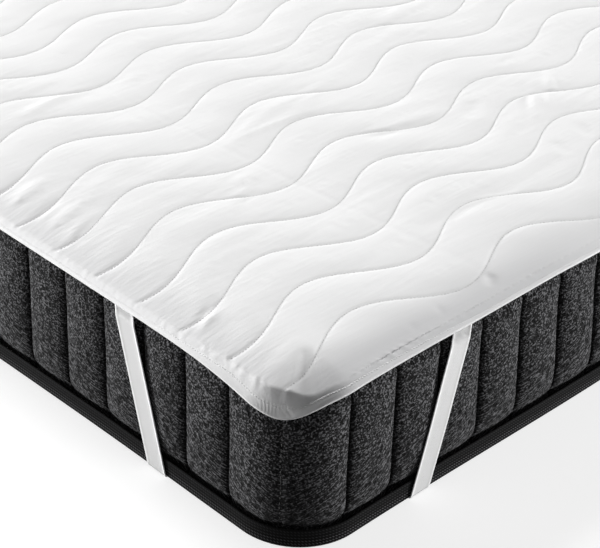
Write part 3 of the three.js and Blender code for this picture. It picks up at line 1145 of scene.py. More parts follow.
@dataclass(frozen=True)
class EdgeBinding:
    """The folded strip sewn round the pad's rim."""

    edge: RoundedEdge
    inside: float = 1.7
    outside: float = 2.6
    shoulder: float = 1.66
    tucked: float = 1.15
    nose: float = 1.8
    end_angle: float = 37.6
    seam_back: float = 2.6
    under_angle: float = 60.0
    # The strip's greyer colour: partly the dark border showing through, and partly painted shade where the
    # rim is drawn in.
    thin_at_rim: float = 0.35
    thin_where_drawn: float = 0.45

    def section(self) -> list[tuple[float, float, float, float]]:
        """Give the folded strip's section, from its inner edge round the rim and back inside.

        Returns:
            For each place: the share of the way from the rim's end to the inner edge, how far off
            the middle, how far past the end, and how much the gathers show there.
        """
        leaf = np.linspace(0.0, 1.0, 11)
        offs = (self.outside, self.outside, self.shoulder, self.tucked)
        over = np.interp(leaf, (0.0, 0.3, 0.9, 1.0), offs)
        top = [(a, over[i], 0.4 if i == 0 else 0.0, 0.4 + 0.3 * a) for i, a in enumerate(leaf)]
        low = [(a, -self.outside, 0.4 if i == 0 else 0.0, 0.0) for i, a in enumerate(leaf[::5])]
        turn = [
            (0.0, self.outside * math.cos(t), self.nose * math.sin(t), 0.25)
            for t in np.radians([36, 72, 108, 144])
        ]
        back_low = [(a, -self.inside, 0.3 if i == 0 else 0.0, 0.0) for i, a in enumerate(leaf[::5])]
        back_top = [(a, self.inside, past, 0.0) for a, _, past, _ in back_low[:-1]]
        back_top.append((1.0, min(self.inside, self.tucked - 0.1), 0.0, 0.0))
        return top[::-1] + turn + low + back_low[::-1] + back_top

    def build(self) -> Piece:
        """Build the strip as one closed hoop with gathers and corner pleats.

        Returns:
            The new object.
        """
        outline = self.edge.outline
        stations = outline.stations(1.7, 5.0, 900.0)
        stations = np.unique(np.concatenate([stations, np.arange(-10.0, 70.0, 0.9)]))
        parts = MeshParts()
        rows = []
        folds_here = HemFolds(self.edge)
        slide = self.edge.slide(stations)
        inner = self.edge.bound_angle(stations)
        thin = self.thin_at_rim + self.thin_where_drawn * self.edge.slide_share(stations)
        for share, off, past, show in self.section():
            reach = inner if off > 0 else self.under_angle
            angle = self.end_angle + (reach - self.end_angle) * share
            unslid = self.edge.on(Leaf.MIDDLE, angle, off, past)[0]
            folds = show * folds_here.height(stations, unslid)
            inset, up = self.edge.on(Leaf.MIDDLE, angle + slide, off + folds, past)
            x, y = outline.place(stations, inset)
            z = up - self.edge.drop(stations, inset)
            points = np.stack([x, y, z], axis=-1)
            across = 1.0 - share if off > 0 else 2.0
            rows.append(parts.add_points(points, across=across, travel=stations, thin=thin))
        parts.add_grid(np.array(rows), closed_rows=True, closed_columns=True)
        parts.quads[-1] = parts.quads[-1][:, ::-1]
        return parts.make("edge_binding_folded")

    def dress(self, piece: Piece, finish: Material) -> None:
        """Give the strip its finish.

        Args:
            piece: The new object.
            finish: Its material.
        """
        fit_piece(piece, Slot.BINDING, finish, "edge_binding")


# ---- Sewing thread ----

THICK_SHARE = 0.62  # of a stitch's length, which is at full thickness


def thread_beads(middles: Array, along: Array, up: Array, length: float, radius: float) -> MeshParts:
    """Make a short thick stitch at each place.

    Args:
        middles: The stitches' middles.
        along: Unit directions along the stitches.
        up: Unit directions away from the cloth.
        length: A stitch's length.
        radius: The thread's radius.

    Returns:
        The gathered mesh.
    """
    side = np.cross(along, up)
    parts = MeshParts()
    shapes = [middles + along * length / 2, middles - along * length / 2]
    for sign in (1.0, -1.0):
        for turn in (90.0, 210.0, 330.0):
            a = math.radians(turn)
            out = side * math.cos(a) * radius + up * math.sin(a) * radius
            shapes.append(middles + along * (sign * THICK_SHARE * length / 2) + out)
    stack = np.stack(shapes, axis=1)
    numbers = parts.add_points(stack.reshape(-1, 3)).reshape(-1, 8)
    front, back = numbers[:, 2:5], numbers[:, 5:8]
    for k in range(3):
        ahead = (k + 1) % 3
        parts.triangles.append(np.stack([numbers[:, 0], front[:, k], front[:, ahead]], axis=-1))
        parts.triangles.append(np.stack([numbers[:, 1], back[:, ahead], back[:, k]], axis=-1))
        quad = [front[:, k], back[:, k], back[:, ahead], front[:, ahead]]
        parts.quads.append(np.stack(quad, axis=-1))
    return parts


@dataclass(frozen=True)
class QuiltStitches:
    """The lockstitches down every wave line."""

    pad: QuiltedPad
    length: float = 2.3
    radius: float = 0.30
    stand: float = 0.12
    first_inset: float = 13.6

    def build(self) -> Piece:
        """Build all the lines' stitches as one piece.

        Returns:
            The new object.
        """
        pattern, outline = self.pad.pattern, self.pad.edge.outline
        across = np.arange(0.0, outline.width + 1.0, 1.0) + pattern.corner_x
        run = pattern.travel(across)
        starts = np.arange(run[0], run[-1], pattern.stitch)
        x = np.interp(starts, run, across)
        ahead = x + 1.0
        middles, directions = [], []
        for number in range(pattern.count):
            y = pattern.line_place(x, number)
            y_ahead = pattern.line_place(ahead, number)
            _, inset = outline.locate(x, y)
            keep = inset > self.first_inset
            z, z_ahead = self.pad.height(x[keep], y[keep]), self.pad.height(ahead[keep], y_ahead[keep])
            middles.append(np.stack([x[keep], y[keep], z + self.stand], axis=-1))
            step = np.stack([np.ones(keep.sum()), (y_ahead - y)[keep], z_ahead - z], axis=-1)
            directions.append(step / np.linalg.norm(step, axis=1, keepdims=True))
        middles, along = np.vstack(middles), np.vstack(directions)
        up = np.array([0.0, 0.0, 1.0]) - along * along[:, 2:3]
        up = up / np.linalg.norm(up, axis=1, keepdims=True)
        return thread_beads(middles, along, up, self.length, self.radius).make("quilting_stitches")

    def dress(self, piece: Piece, finish: Material) -> None:
        """Give the stitches their finish."""
        fit_piece(piece, Slot.MICROFIBRE, finish)


@dataclass(frozen=True)
class HemStitches:
    """The row of stitches that holds the binding."""

    binding: EdgeBinding
    pitch: float = 3.3
    length: float = 2.4
    radius: float = 0.28
    stand: float = 0.35
    follow: float = 0.85
    normal_out: float = 0.47
    normal_up: float = 0.88

    def build(self) -> Piece:
        """Build the row right round the pad.

        Returns:
            The new object.
        """
        edge = self.binding.edge
        outline = edge.outline
        count = round(outline.total / self.pitch)
        stations = np.arange(count) * (outline.total / count)
        seam = edge.bound_angle(stations) - self.binding.seam_back
        off = self.binding.shoulder + self.stand
        unslid = edge.on(Leaf.MIDDLE, seam, off)[0]
        off = off + self.follow * HemFolds(edge).height(stations, unslid)
        inset, up = edge.on(Leaf.MIDDLE, seam + edge.slide(stations), off)
        place = np.stack([*outline.place(stations, inset), up - edge.drop(stations, inset)], axis=-1)
        ahead = np.roll(place, -1, axis=0) - np.roll(place, 1, axis=0)
        along = ahead / np.linalg.norm(ahead, axis=1, keepdims=True)
        x, y = outline.place(stations, inset - 1.0)
        out = np.stack([x, y, place[:, 2]], axis=-1) - place
        normal = self.normal_out * out + np.array([0.0, 0.0, self.normal_up])
        normal = normal - along * np.sum(normal * along, axis=1, keepdims=True)
        normal = normal / np.linalg.norm(normal, axis=1, keepdims=True)
        return thread_beads(place, along, normal, self.length, self.radius).make("hem_stitches")

    def dress(self, piece: Piece, finish: Material) -> None:
        """Give the stitches their finish."""
        fit_piece(piece, Slot.BINDING, finish)


# ---- The mattress ----

# The levels of the border's straight part: height, and the share of the corners' drop there.
BORDER_LEVELS = ((76.0, 0.0), (92.0, 0.08), (108.0, 0.25), (122.0, 0.5), (134.0, 0.75), (143.0, 0.95))


@dataclass(frozen=True)
class PaddedMattress:
    """The mattress: upright padded rolls all round, with a rounded top and foot."""

    edge: RoundedEdge
    top: float
    roll_count: int = 108
    roll_depth: float = 8.0
    wide_roll: float = 142.0
    wide_roll_start: float = -27.5
    join_place: float = 68.5
    join_dip: float = 2.4
    crease_depth: float = 2.6
    roll_steps: int = 24
    edge_power: float = 2.3
    edge_rise: float = 22.0
    foot_height: float = 60.0
    foot_inset: float = 8.5
    foot_hidden: float = 19.0
    foot_power: float = 2.4
    flat_share: float = 0.4
    flat_power: float = 2.6
    join_width: float = 3.0
    crease_width: float = 1.6
    eased_share: float = 0.75
    bulge: float = 0.8
    softness: float = 0.5
    least_inset: float = 0.6

    @property
    def roll_pitch(self) -> float:
        """The length of edge that each ordinary roll takes."""
        return (self.edge.outline.total - self.wide_roll) / self.roll_count

    def roll_dip(self, distance: Array) -> tuple[Array, Array]:
        """Give how far the border dips at distances along it, and how far the nearest groove is.

        Args:
            distance: Distances along the outline.

        Returns:
            The dip from a roll's crest, and the distance to the groove.
        """
        along = np.mod(distance - self.wide_roll_start, self.edge.outline.total)
        wide = along < self.wide_roll
        place = np.where(wide, along / self.wide_roll, (along - self.wide_roll) / self.roll_pitch)
        off = np.minimum(np.abs(2.0 * (place % 1.0) - 1.0), 1.0)
        groove = (1.0 - off) * np.where(wide, self.wide_roll, self.roll_pitch) / 2.0
        off = np.where(wide, off**1.5, off)
        flat = (1.0 - off**self.flat_power) ** (1.0 / self.flat_power)
        crown = (1.0 - self.flat_share) * (1.0 - off**2) + self.flat_share * flat
        join = self.join_dip * np.exp(-np.abs(along - self.join_place) / self.join_width)
        crease = self.crease_depth * np.exp(-groove / self.crease_width)
        return self.roll_depth * (1.0 - crown) + crease + join, groove

    def levels(self) -> list[tuple[float, float, float, float]]:
        """Give the border's levels, lowest first.

        Returns:
            For each: height, inset, share of the rolls' depth, and share of the corners' drop.
        """
        rows = [(0.0, 8.0, 0.0, 0.0), (self.foot_hidden, self.foot_inset + 0.6, 0.35, 0.0)]
        for share in (0.0, 0.1, 0.22, 0.36, 0.53, 0.75, 1.0):
            z = self.foot_hidden + 2.0 + (self.foot_height - self.foot_hidden - 2.0) * share
            inset = self.foot_inset * (1.0 - math.sqrt(1.0 - (1.0 - share) ** self.foot_power))
            rows.append((z, inset, 0.45 + 0.55 * share**0.6, 0.0))
        rows += [(z, 0.0, 1.0, lowered) for z, lowered in BORDER_LEVELS]
        base = self.top - self.edge_rise
        for degrees in (0, 12, 24, 36, 48, 60, 72, 82, 90):
            a = math.radians(degrees)
            out = self.edge.reach * math.cos(a) ** (2.0 / self.edge_power)
            z = base + self.edge_rise * math.sin(a) ** (2.0 / self.edge_power)
            rows.append((z, self.edge.reach - out, max(0.0, 1.0 - degrees / 66.0), 1.08))
        return rows

    def stations(self) -> Array:
        """Give stations right round from the wide roll's start, closer together near each groove.

        Returns:
            The stations' distances, in order.
        """
        steps = np.arange(self.roll_steps) / self.roll_steps
        eased = self.eased_share * 0.5 * (1.0 - np.cos(math.pi * steps)) + (1.0 - self.eased_share) * steps
        after = self.wide_roll + self.roll_pitch * np.arange(self.roll_count)
        starts = np.concatenate([[0.0, self.join_place], after])
        lengths = np.append(np.diff(starts), self.roll_pitch)
        return (self.wide_roll_start + starts[:, None] + eased[None, :] * lengths[:, None]).ravel()

    def belly(self, distance: Array, z: Array | float) -> Array:
        """Give how far the side swells outward at a height."""
        return self.edge.outline.belly(distance) * (1.0 - smoothstep(45.0, 150.0, z))

    def build(self) -> Piece:
        """Build the mattress as one closed mesh.

        Returns:
            The new object.
        """
        outline = self.edge.outline
        stations = self.stations()
        dip, groove = self.roll_dip(stations)
        run = np.abs(outline.wrapped(stations - self.wide_roll_start - self.join_place))
        bulge = self.bulge * gradient_noise(stations / (2.0 * self.roll_pitch), 0.4, Noise.ROLL_BULGE)
        parts = MeshParts()
        rows = []
        for z, inset, rolls, lowered in self.levels():
            soft = self.softness * gradient_noise(stations / 34.0, z / 40.0, Noise.ROLL_SOFTNESS)
            loose = (bulge + self.least_inset) * rolls + soft * min(1.0, rolls)
            place = inset + rolls * dip + np.maximum(0.0, loose)
            x, y = outline.place(stations, place - self.belly(stations, z))
            fall = lowered * self.edge.drop(stations, np.full_like(stations, inset))
            points = np.stack([x, y, z - fall], axis=-1)
            rows.append(parts.add_points(points, run=run, up=z - fall, groove=groove))
        parts.add_grid(np.array(rows), closed_columns=True)
        ends = parts.add_points([[0, 0, 0.0], [0, 0, self.top]], run=0.0, up=0.0, groove=30.0)
        parts.add_fan(rows[0][::-1], int(ends[0]))
        parts.add_fan(rows[-1], int(ends[1]))
        return parts.make("padded_mattress")

    def dress(self, piece: Piece, finish: Material) -> None:
        fit_piece(piece, Slot.KNIT, finish, "mattress")


@dataclass(frozen=True)
class BorderSeam:
    """The light stitches down the border's join, in the wide roll at one corner."""

    mattress: PaddedMattress
    pitch: float = 6.2
    length: float = 3.2
    radius: float = 0.32
    lowest: float = 26.0
    highest: float = 126.0
    wander: float = 0.6
    stand: float = 0.1

    def build(self) -> Piece:
        """Build the stitches as one piece.

        Returns:
            The new object.
        """
        outline = self.mattress.edge.outline
        heights = np.arange(self.lowest, self.highest, self.pitch)
        at = self.mattress.wide_roll_start + self.mattress.join_place
        levels = np.array(self.mattress.levels())
        inset = np.interp(heights, levels[:, 0], levels[:, 1])
        dip, _ = self.mattress.roll_dip(np.array([at]))
        stations = at + self.wander * np.sin(heights / 9.0)
        x, y = outline.place(stations, inset + dip[0] - self.stand)
        middles = np.stack([x, y, heights], axis=-1)
        x_out, y_out = outline.place(stations, inset + dip[0] - self.stand - 1.0)
        up = np.stack([x_out - x, y_out - y, np.zeros_like(x)], axis=-1)
        along = np.tile([0.0, 0.0, 1.0], (len(heights), 1))
        return thread_beads(middles, along, up, self.length, self.radius).make("border_seam_stitches")

    def dress(self, piece: Piece, finish: Material) -> None:
        """Give the stitches their finish."""
        fit_piece(piece, Slot.KNIT, finish)


@dataclass(frozen=True)
class BaseTape:
    """The ribbed woven tape over the mattress's bottom edge."""

    outline: Outline
    height: float = 21.0
    outer_inset: float = 0.8
    inner_inset: float = 2.6
    fold_inset: float = 6.4
    ribs: int = 4
    rib_rise: float = 0.28
    face_steps: int = 20
    wander: float = 0.35

    def section(self) -> list[tuple[float, float, float]]:
        """Give the tape's section, from the fold below round the face to its top and back.

        Returns:
            For each place: inset, height and the share of the way up the face.
        """
        face = []
        for step in range(self.face_steps + 1):
            share = step / self.face_steps
            rib = self.rib_rise * abs(math.sin(math.pi * self.ribs * share))
            face.append((self.outer_inset + 0.3 - rib, 1.2 + (self.height - 2.0) * share, share))
        fold = [(self.fold_inset, 0.0, 0.0), (2.2, 0.0, 0.0), (1.4, 0.3, 0.0)]
        back = [(1.6, self.height, 1.0), (self.inner_inset, self.height - 0.2, 1.0)]
        hidden = [(self.inner_inset, 2.2, 0.0), (self.fold_inset, 0.9, 0.0)]
        return fold + face + back + hidden

    def build(self) -> Piece:
        """Build the tape right round the foot.

        Returns:
            The new object.
        """
        stations = self.outline.stations(7.0, 9.0, 900.0)
        rows = []
        parts = MeshParts()
        wander = self.wander * gradient_noise(stations / 60.0, 0.2, Noise.TAPE_WANDER)
        for inset, z, share in self.section():
            out = self.outline.belly(stations) - np.maximum(wander, -0.1) * (share > 0)
            x, y = self.outline.place(stations, inset - out)
            points = np.stack([x, y, np.full_like(x, z)], axis=-1)
            rows.append(parts.add_points(points, up=z, travel=stations))
        parts.add_grid(np.array(rows), closed_rows=True, closed_columns=True)
        return parts.make("base_tape_ribbed")

    def dress(self, piece: Piece, finish: Material) -> None:
        """Give the tape its finish.

        Args:
            piece: The new object.
            finish: Its material.
        """
        fit_piece(piece, Slot.TAPE, finish, "base_tape")


# ---- The corner straps ----


# Half of a strap's section: the share of the half width, and of the half thickness.
STRAP_SECTION = ((0.0, 0.7), (0.5, 0.7), (0.8, 0.7), (0.86, 1.15), (0.94, 1.15), (0.985, 0.62), (1.0, 0.25))


@dataclass(frozen=True)
class CornerStrap:
    """One elastic strap: down one side, under the corner and up the other side.

    Each row of side_path gives a place on a side: how far out, its height, and the outward and
    upward share of the way that the strap faces.
    """

    mattress: PaddedMattress
    number: int
    width: float = 27.8
    thickness: float = 1.1
    long_top: float = 241.9
    long_base: float = 196.7
    short_top: float = 212.3
    short_base: float = 166.3
    tuck_lean: float = 1.2
    tuck_power: int = 6
    under: float = 0.9
    lowest: float = 0.05
    turn: float = 34.0
    step: float = 4.0
    side_path: tuple[tuple[float, float, float, float], ...] = (
        (-8.2, 166.6, 0.50, 0.87),
        (-4.5, 164.6, 0.62, 0.78),
        (-1.0, 162.2, 0.80, 0.60),
        (0.8, 159.5, 0.95, 0.30),
        (1.1, 156.0, 1.0, 0.0),
        (1.1, 110.0, 1.0, 0.0),
        (1.1, 75.0, 1.0, 0.0),
        (1.1, 45.0, 1.0, 0.0),
        (1.1, 4.5, 1.0, 0.0),
        (0.5, 1.5, 0.7, -0.7),
        (-1.6, 0.9, 0.0, -1.0),
    )

    def path(self) -> tuple[Array, Array, Array]:
        """Give the strap's middle line in plan places measured in from the two sides.

        Returns:
            The middles, the directions across the strap and the outward directions.
        """
        top = self.side_path[0][1]
        outline = self.mattress.edge.outline
        long_side, short_side = [], []
        for out, z, face_out, face_up in self.side_path:
            share = z / top
            lean = self.tuck_lean * max(0.0, 1.1 - out) * share**self.tuck_power
            along_long = self.long_base + (self.long_top - self.long_base) * share + lean
            along_short = self.short_base + (self.short_top - self.short_base) * share + lean
            out_long = out + float(self.mattress.belly(outline.radius - along_long, z))
            out_short = out + float(self.mattress.belly(outline.arc + along_short - outline.radius, z))
            long_side.append(([-out_long, along_long, z], [0, 1, 0], [-face_out, 0, face_up]))
            short_side.append(([along_short, -out_short, z], [1, 0, 0], [0, -face_out, face_up]))
        start = np.array([0.0, self.long_base, self.under])
        end = np.array([self.short_base, 0.0, self.under])
        run = (end - start) / np.linalg.norm(end - start)
        across = [-run[1], run[0], 0.0]
        below = [(place, across, [0, 0, -1]) for place in (start + run * self.turn, end - run * self.turn)]
        rows = long_side + below + short_side[::-1]
        middles, sides, outward = (np.array([list(row[k]) for row in rows], float) for k in range(3))
        return middles, sides, outward

    def refined(self) -> tuple[Array, Array, Array, Array]:
        """Give the path in short steps, with its bends left where they are.

        Returns:
            The middles, the directions across, the outward directions and the length run so far.
        """
        middles, sides, outward = self.path()
        length = np.concatenate([[0.0], np.cumsum(np.linalg.norm(np.diff(middles, axis=0), axis=1))])
        counts = [max(2, math.ceil((b - a) / self.step) + 1) for a, b in zip(length, length[1:])]
        steps = [np.linspace(a, b, n)[:-1] for a, b, n in zip(length, length[1:], counts)]
        at = np.concatenate(steps + [length[-1:]])

        def spread(rows: Array) -> Array:
            """Read the rows at the short steps."""
            return np.stack([np.interp(at, length, rows[:, k]) for k in range(3)], axis=1)

        side, out = spread(sides), spread(outward)
        side = side / np.linalg.norm(side, axis=1, keepdims=True)
        out = out / np.linalg.norm(out, axis=1, keepdims=True)
        return spread(middles), side, out, at

    def build(self) -> Piece:
        """Build the strap, with thicker edges.

        Returns:
            The new object.
        """
        middles, sides, outward, at = self.refined()
        half = np.array(STRAP_SECTION)
        section = np.vstack([half[:0:-1] * (-1.0, 1.0), half])
        sign_x, sign_y = CORNER_X[self.number], CORNER_Y[self.number]
        outline = self.mattress.edge.outline
        rows = []
        parts = MeshParts()
        for face in (1, -1):
            for u, thick in section[::face]:
                p = middles + sides * (u * self.width / 2) + outward * (face * thick * self.thickness / 2)
                x = sign_x * (outline.width / 2 - p[:, 0])
                y = sign_y * (outline.length / 2 - p[:, 1])
                place = np.stack([x, y, np.maximum(p[:, 2], self.lowest)], axis=-1)
                rows.append(parts.add_points(place, across=u, travel=at))
        grid = np.array(rows)
        parts.add_grid(grid, closed_rows=True)
        mirrored = sign_x * sign_y < 0
        count = len(section)
        for column, flip in ((0, False), (-1, True)):
            face_side, back_side = grid[:count, column], grid[count:, column][::-1]
            a, b, c, d = face_side[:-1], face_side[1:], back_side[1:], back_side[:-1]
            quads = np.stack([a, b, c, d], axis=-1)
            parts.quads.append(quads[:, ::-1] if flip else quads)
        if not mirrored:
            parts.quads = [quads[:, ::-1] for quads in parts.quads]
        return parts.make(f"corner_strap_{self.number + 1}_elastic")

    def dress(self, piece: Piece, finish: Material) -> None:
        """Give the strap its finish and work out its length laid flat.

        Args:
            piece: The new object.
            finish: Its material.
        """
        fit_piece(piece, Slot.ELASTIC, finish, f"corner_strap_{self.number + 1}")
        length = float(self.refined()[3][-1]) * MM


# ---- Finishes ----

MULTIPLY = {"operation": "MULTIPLY"}
ADD = {"operation": "ADD"}
SUBTRACT = {"operation": "SUBTRACT"}
MAXIMUM = {"operation": "MAXIMUM"}
SINE = {"operation": "SINE"}
SMOOTH = {"interpolation_type": "SMOOTHSTEP"}
COLOURS = {"data_type": "RGBA"}


def linear(code: str) -> tuple[float, float, float, float]:
    """Turn an sRGB hex colour to linear.

    Args:
        code: Six hex digits.

    Returns:
        Red, green, blue and alpha.
    """
    parts = [int(code[i : i + 2], 16) / 255 for i in (0, 2, 4)]
    bent = [c / 12.92 if c <= 0.04045 else ((c + 0.055) / 1.055) ** 2.4 for c in parts]
    return (*bent, 1.0)


def add_node(
    tree: Tree,
    kind: str,
    settings: dict[str, object],
    inputs: dict[str | int, object],
) -> bpy.types.Node:
    """Add a node with its settings, and set or link its inputs.

    Args:
        tree: The node tree.
        kind: The node's type, without the word ShaderNode.
        settings: Values of the node's own properties.
        inputs: For each input by name or index: a value, an output socket to link, or a node whose
            first output is linked.

    Returns:
        The new node.
    """
    node = tree.nodes.new("ShaderNode" + kind)
    for name, value in settings.items():
        setattr(node, name, value)
    for key, value in inputs.items():
        if isinstance(value, bpy.types.Node):
            value = value.outputs[0]
        if isinstance(value, bpy.types.NodeSocket):
            tree.links.new(value, node.inputs[key])
        else:
            node.inputs[key].default_value = value
    return node


@dataclass(frozen=True)
class Finish:
    """What every finish shares: a name, a colour and how rough it is."""

    name: str
    colour: str
    roughness: float
    specular: float
    sheen: float

    def start(self) -> tuple[Material, Tree]:
        """Start an empty material with this finish's name.

        Returns:
            The material and its node tree.
        """
        material = bpy.data.materials.new(self.name)
        material.use_nodes = True
        material.node_tree.nodes.clear()
        return material, material.node_tree

    def look(self, colour: bpy.types.NodeSocket, bump: bpy.types.Node) -> dict[str, object]:
        """Give the inputs of this finish's surface.

        Args:
            colour: What gives the colour.
            bump: What gives the fine relief.

        Returns:
            The inputs by name.
        """
        return {
            "Base Color": colour,
            "Roughness": self.roughness,
            "Specular IOR Level": self.specular,
            "Sheen Weight": self.sheen,
            "Normal": bump,
        }


@dataclass(frozen=True)
class BrushedMicrofibre(Finish):
    """Brushed polyester microfibre, woven: a soft even white with faint creases, and painted shade at the
    needle holes.
    """

    stitch: float = 3.2
    thin: str = "D2D2D3"
    # Colour of the painted shade at the needle holes and along the stitch lines.
    painted_stitch_shade: str = "9A9A9A"
    weave: float = 0.9
    crease: float = 5.0

    def build(self) -> Material:
        """Build the material.

        Returns:
            The new material.
        """
        material, tree = self.start()
        place = add_node(tree, "TexCoord", {}, {}).outputs["Object"]
        seam = add_node(tree, "Attribute", {"attribute_name": "seam"}, {}).outputs["Fac"]
        travel = add_node(tree, "Attribute", {"attribute_name": "travel"}, {}).outputs["Fac"]
        # Painted shade along each stitch line: a dark dot painted where each stitch goes down into its
        # needle hole, and a lighter painted shade in the crease between them.
        beat = add_node(tree, "Math", {"operation": "PINGPONG"}, {0: travel, 1: self.stitch / 2})
        dotted = add_node(tree, "MapRange", SMOOTH, {0: beat, 1: 0.25, 2: 0.75, 3: 1.0, 4: 0.35})
        near = add_node(tree, "MapRange", SMOOTH, {0: seam, 1: 0.25, 2: 1.1, 3: 1.0, 4: 0.0})
        painted_stitch_shade = add_node(tree, "Math", MULTIPLY, {0: dotted, 1: near})
        shade = add_node(tree, "Math", MULTIPLY, {0: painted_stitch_shade, 1: 0.55})
        # Near the rim the cover is painted greyer: partly the dark border showing through where it lies
        # without filling, and partly painted shade, most where the rim is drawn in.
        thin = add_node(tree, "Attribute", {"attribute_name": "thin"}, {}).outputs["Fac"]
        greys = {6: linear(self.colour), 7: linear(self.thin)}
        cover = add_node(tree, "Mix", COLOURS, {0: thin, **greys}).outputs[2]
        colour = add_node(tree, "Mix", COLOURS, {0: shade, 6: cover, 7: linear(self.painted_stitch_shade)}).outputs[2]
        # The weave is about 0.2 mm, drawn at 0.9 mm so that it shows as a faint tooth.
        size = {"Scale": 1.0 / (self.weave * MM), "Detail": 3.0}
        weave = add_node(tree, "TexNoise", {}, {"Vector": place, **size})
        # Fine creases, about 5 mm apart and much longer, lie across the bed.
        pulled = {"Rotation": (0.0, 0.0, 0.1), "Scale": (0.12, 1.0, 1.0)}
        stretched = add_node(tree, "Mapping", {}, {"Vector": place, **pulled})
        size = {"Scale": 1.0 / (self.crease * MM), "Detail": 3.0}
        creases = add_node(tree, "TexNoise", {}, {"Vector": stretched, **size})
        fine = add_node(tree, "Bump", {}, {"Strength": 0.10, "Distance": 0.0002, "Height": weave})
        deep = {"Strength": 0.22, "Distance": 0.0012, "Normal": fine}
        bump = add_node(tree, "Bump", {}, {"Height": creases, **deep})
        surface = add_node(tree, "BsdfPrincipled", {}, self.look(colour, bump))
        add_node(tree, "OutputMaterial", {}, {"Surface": surface})
        return material


@dataclass(frozen=True)
class FoldedBinding(Finish):
    """A folded strip of the same cloth, pressed flat, with a faint shade where it meets the pad."""

    thin: str = "D2D2D3"
    shaded: str = "BEBEBE"
    crush: float = 1.8

    def build(self) -> Material:
        """Build the material.

        Returns:
            The new material.
        """
        material, tree = self.start()
        place = add_node(tree, "TexCoord", {}, {}).outputs["Object"]
        across = add_node(tree, "Attribute", {"attribute_name": "across"}, {}).outputs["Fac"]
        edge = add_node(tree, "MapRange", SMOOTH, {0: across, 1: 0.0, 2: 0.1, 3: 0.1, 4: 0.0})
        # The strip is painted a little greyer: partly the dark border showing through, and partly painted
        # shade, most where the rim is drawn in.
        thin = add_node(tree, "Attribute", {"attribute_name": "thin"}, {}).outputs["Fac"]
        greys = {6: linear(self.colour), 7: linear(self.thin)}
        cover = add_node(tree, "Mix", COLOURS, {0: thin, **greys}).outputs[2]
        colour = add_node(tree, "Mix", COLOURS, {0: edge, 6: cover, 7: linear(self.shaded)}).outputs[2]
        # The crush of the pressed cloth, about 1.8 mm.
        size = {"Scale": 1.0 / (self.crush * MM), "Detail": 3.0}
        crush = add_node(tree, "TexNoise", {}, {"Vector": place, **size})
        bump = add_node(tree, "Bump", {}, {"Strength": 0.25, "Distance": 0.0004, "Height": crush})
        surface = add_node(tree, "BsdfPrincipled", {}, self.look(colour, bump))
        add_node(tree, "OutputMaterial", {}, {"Surface": surface})
        return material


@dataclass(frozen=True)
class KnittedElastic(Finish):
    """Knitted polyester elastic: lengthwise ribs about 1.7 mm apart, and two thicker edges painted brighter
    than the middle as a highlight.
    """

    rib: float = 1.7
    row: float = 1.5
    half_width: float = 13.9
    shaded: str = "D6D6D6"

    def build(self) -> Material:
        """Build the material.

        Returns:
            The new material.
        """
        material, tree = self.start()
        across = add_node(tree, "Attribute", {"attribute_name": "across"}, {}).outputs["Fac"]
        travel = add_node(tree, "Attribute", {"attribute_name": "travel"}, {}).outputs["Fac"]
        from_middle = add_node(tree, "Math", {"operation": "ABSOLUTE"}, {0: across})
        # Painted highlight and shade: the thicker edges are painted brighter and the middle darker, as the
        # curled strap's edges catch the light.
        edge = add_node(tree, "MapRange", SMOOTH, {0: from_middle, 1: 0.74, 2: 0.86, 3: 0.0, 4: 1.0})
        greys = {6: linear(self.shaded), 7: linear(self.colour)}
        colour = add_node(tree, "Mix", COLOURS, {0: edge, **greys}).outputs[2]
        rib_turn = add_node(tree, "Math", MULTIPLY, {0: across, 1: TURN * self.half_width / self.rib})
        row_turn = add_node(tree, "Math", MULTIPLY, {0: travel, 1: TURN / self.row})
        ribs = add_node(tree, "Math", SINE, {0: rib_turn})
        rows = add_node(tree, "Math", SINE, {0: row_turn})
        low_rows = add_node(tree, "Math", MULTIPLY, {0: rows, 1: 0.6})
        height = add_node(tree, "Math", ADD, {0: ribs, 1: low_rows})
        bump = add_node(tree, "Bump", {}, {"Strength": 0.45, "Distance": 0.0003, "Height": height})
        surface = add_node(tree, "BsdfPrincipled", {}, self.look(colour, bump))
        add_node(tree, "OutputMaterial", {}, {"Surface": surface})
        return material


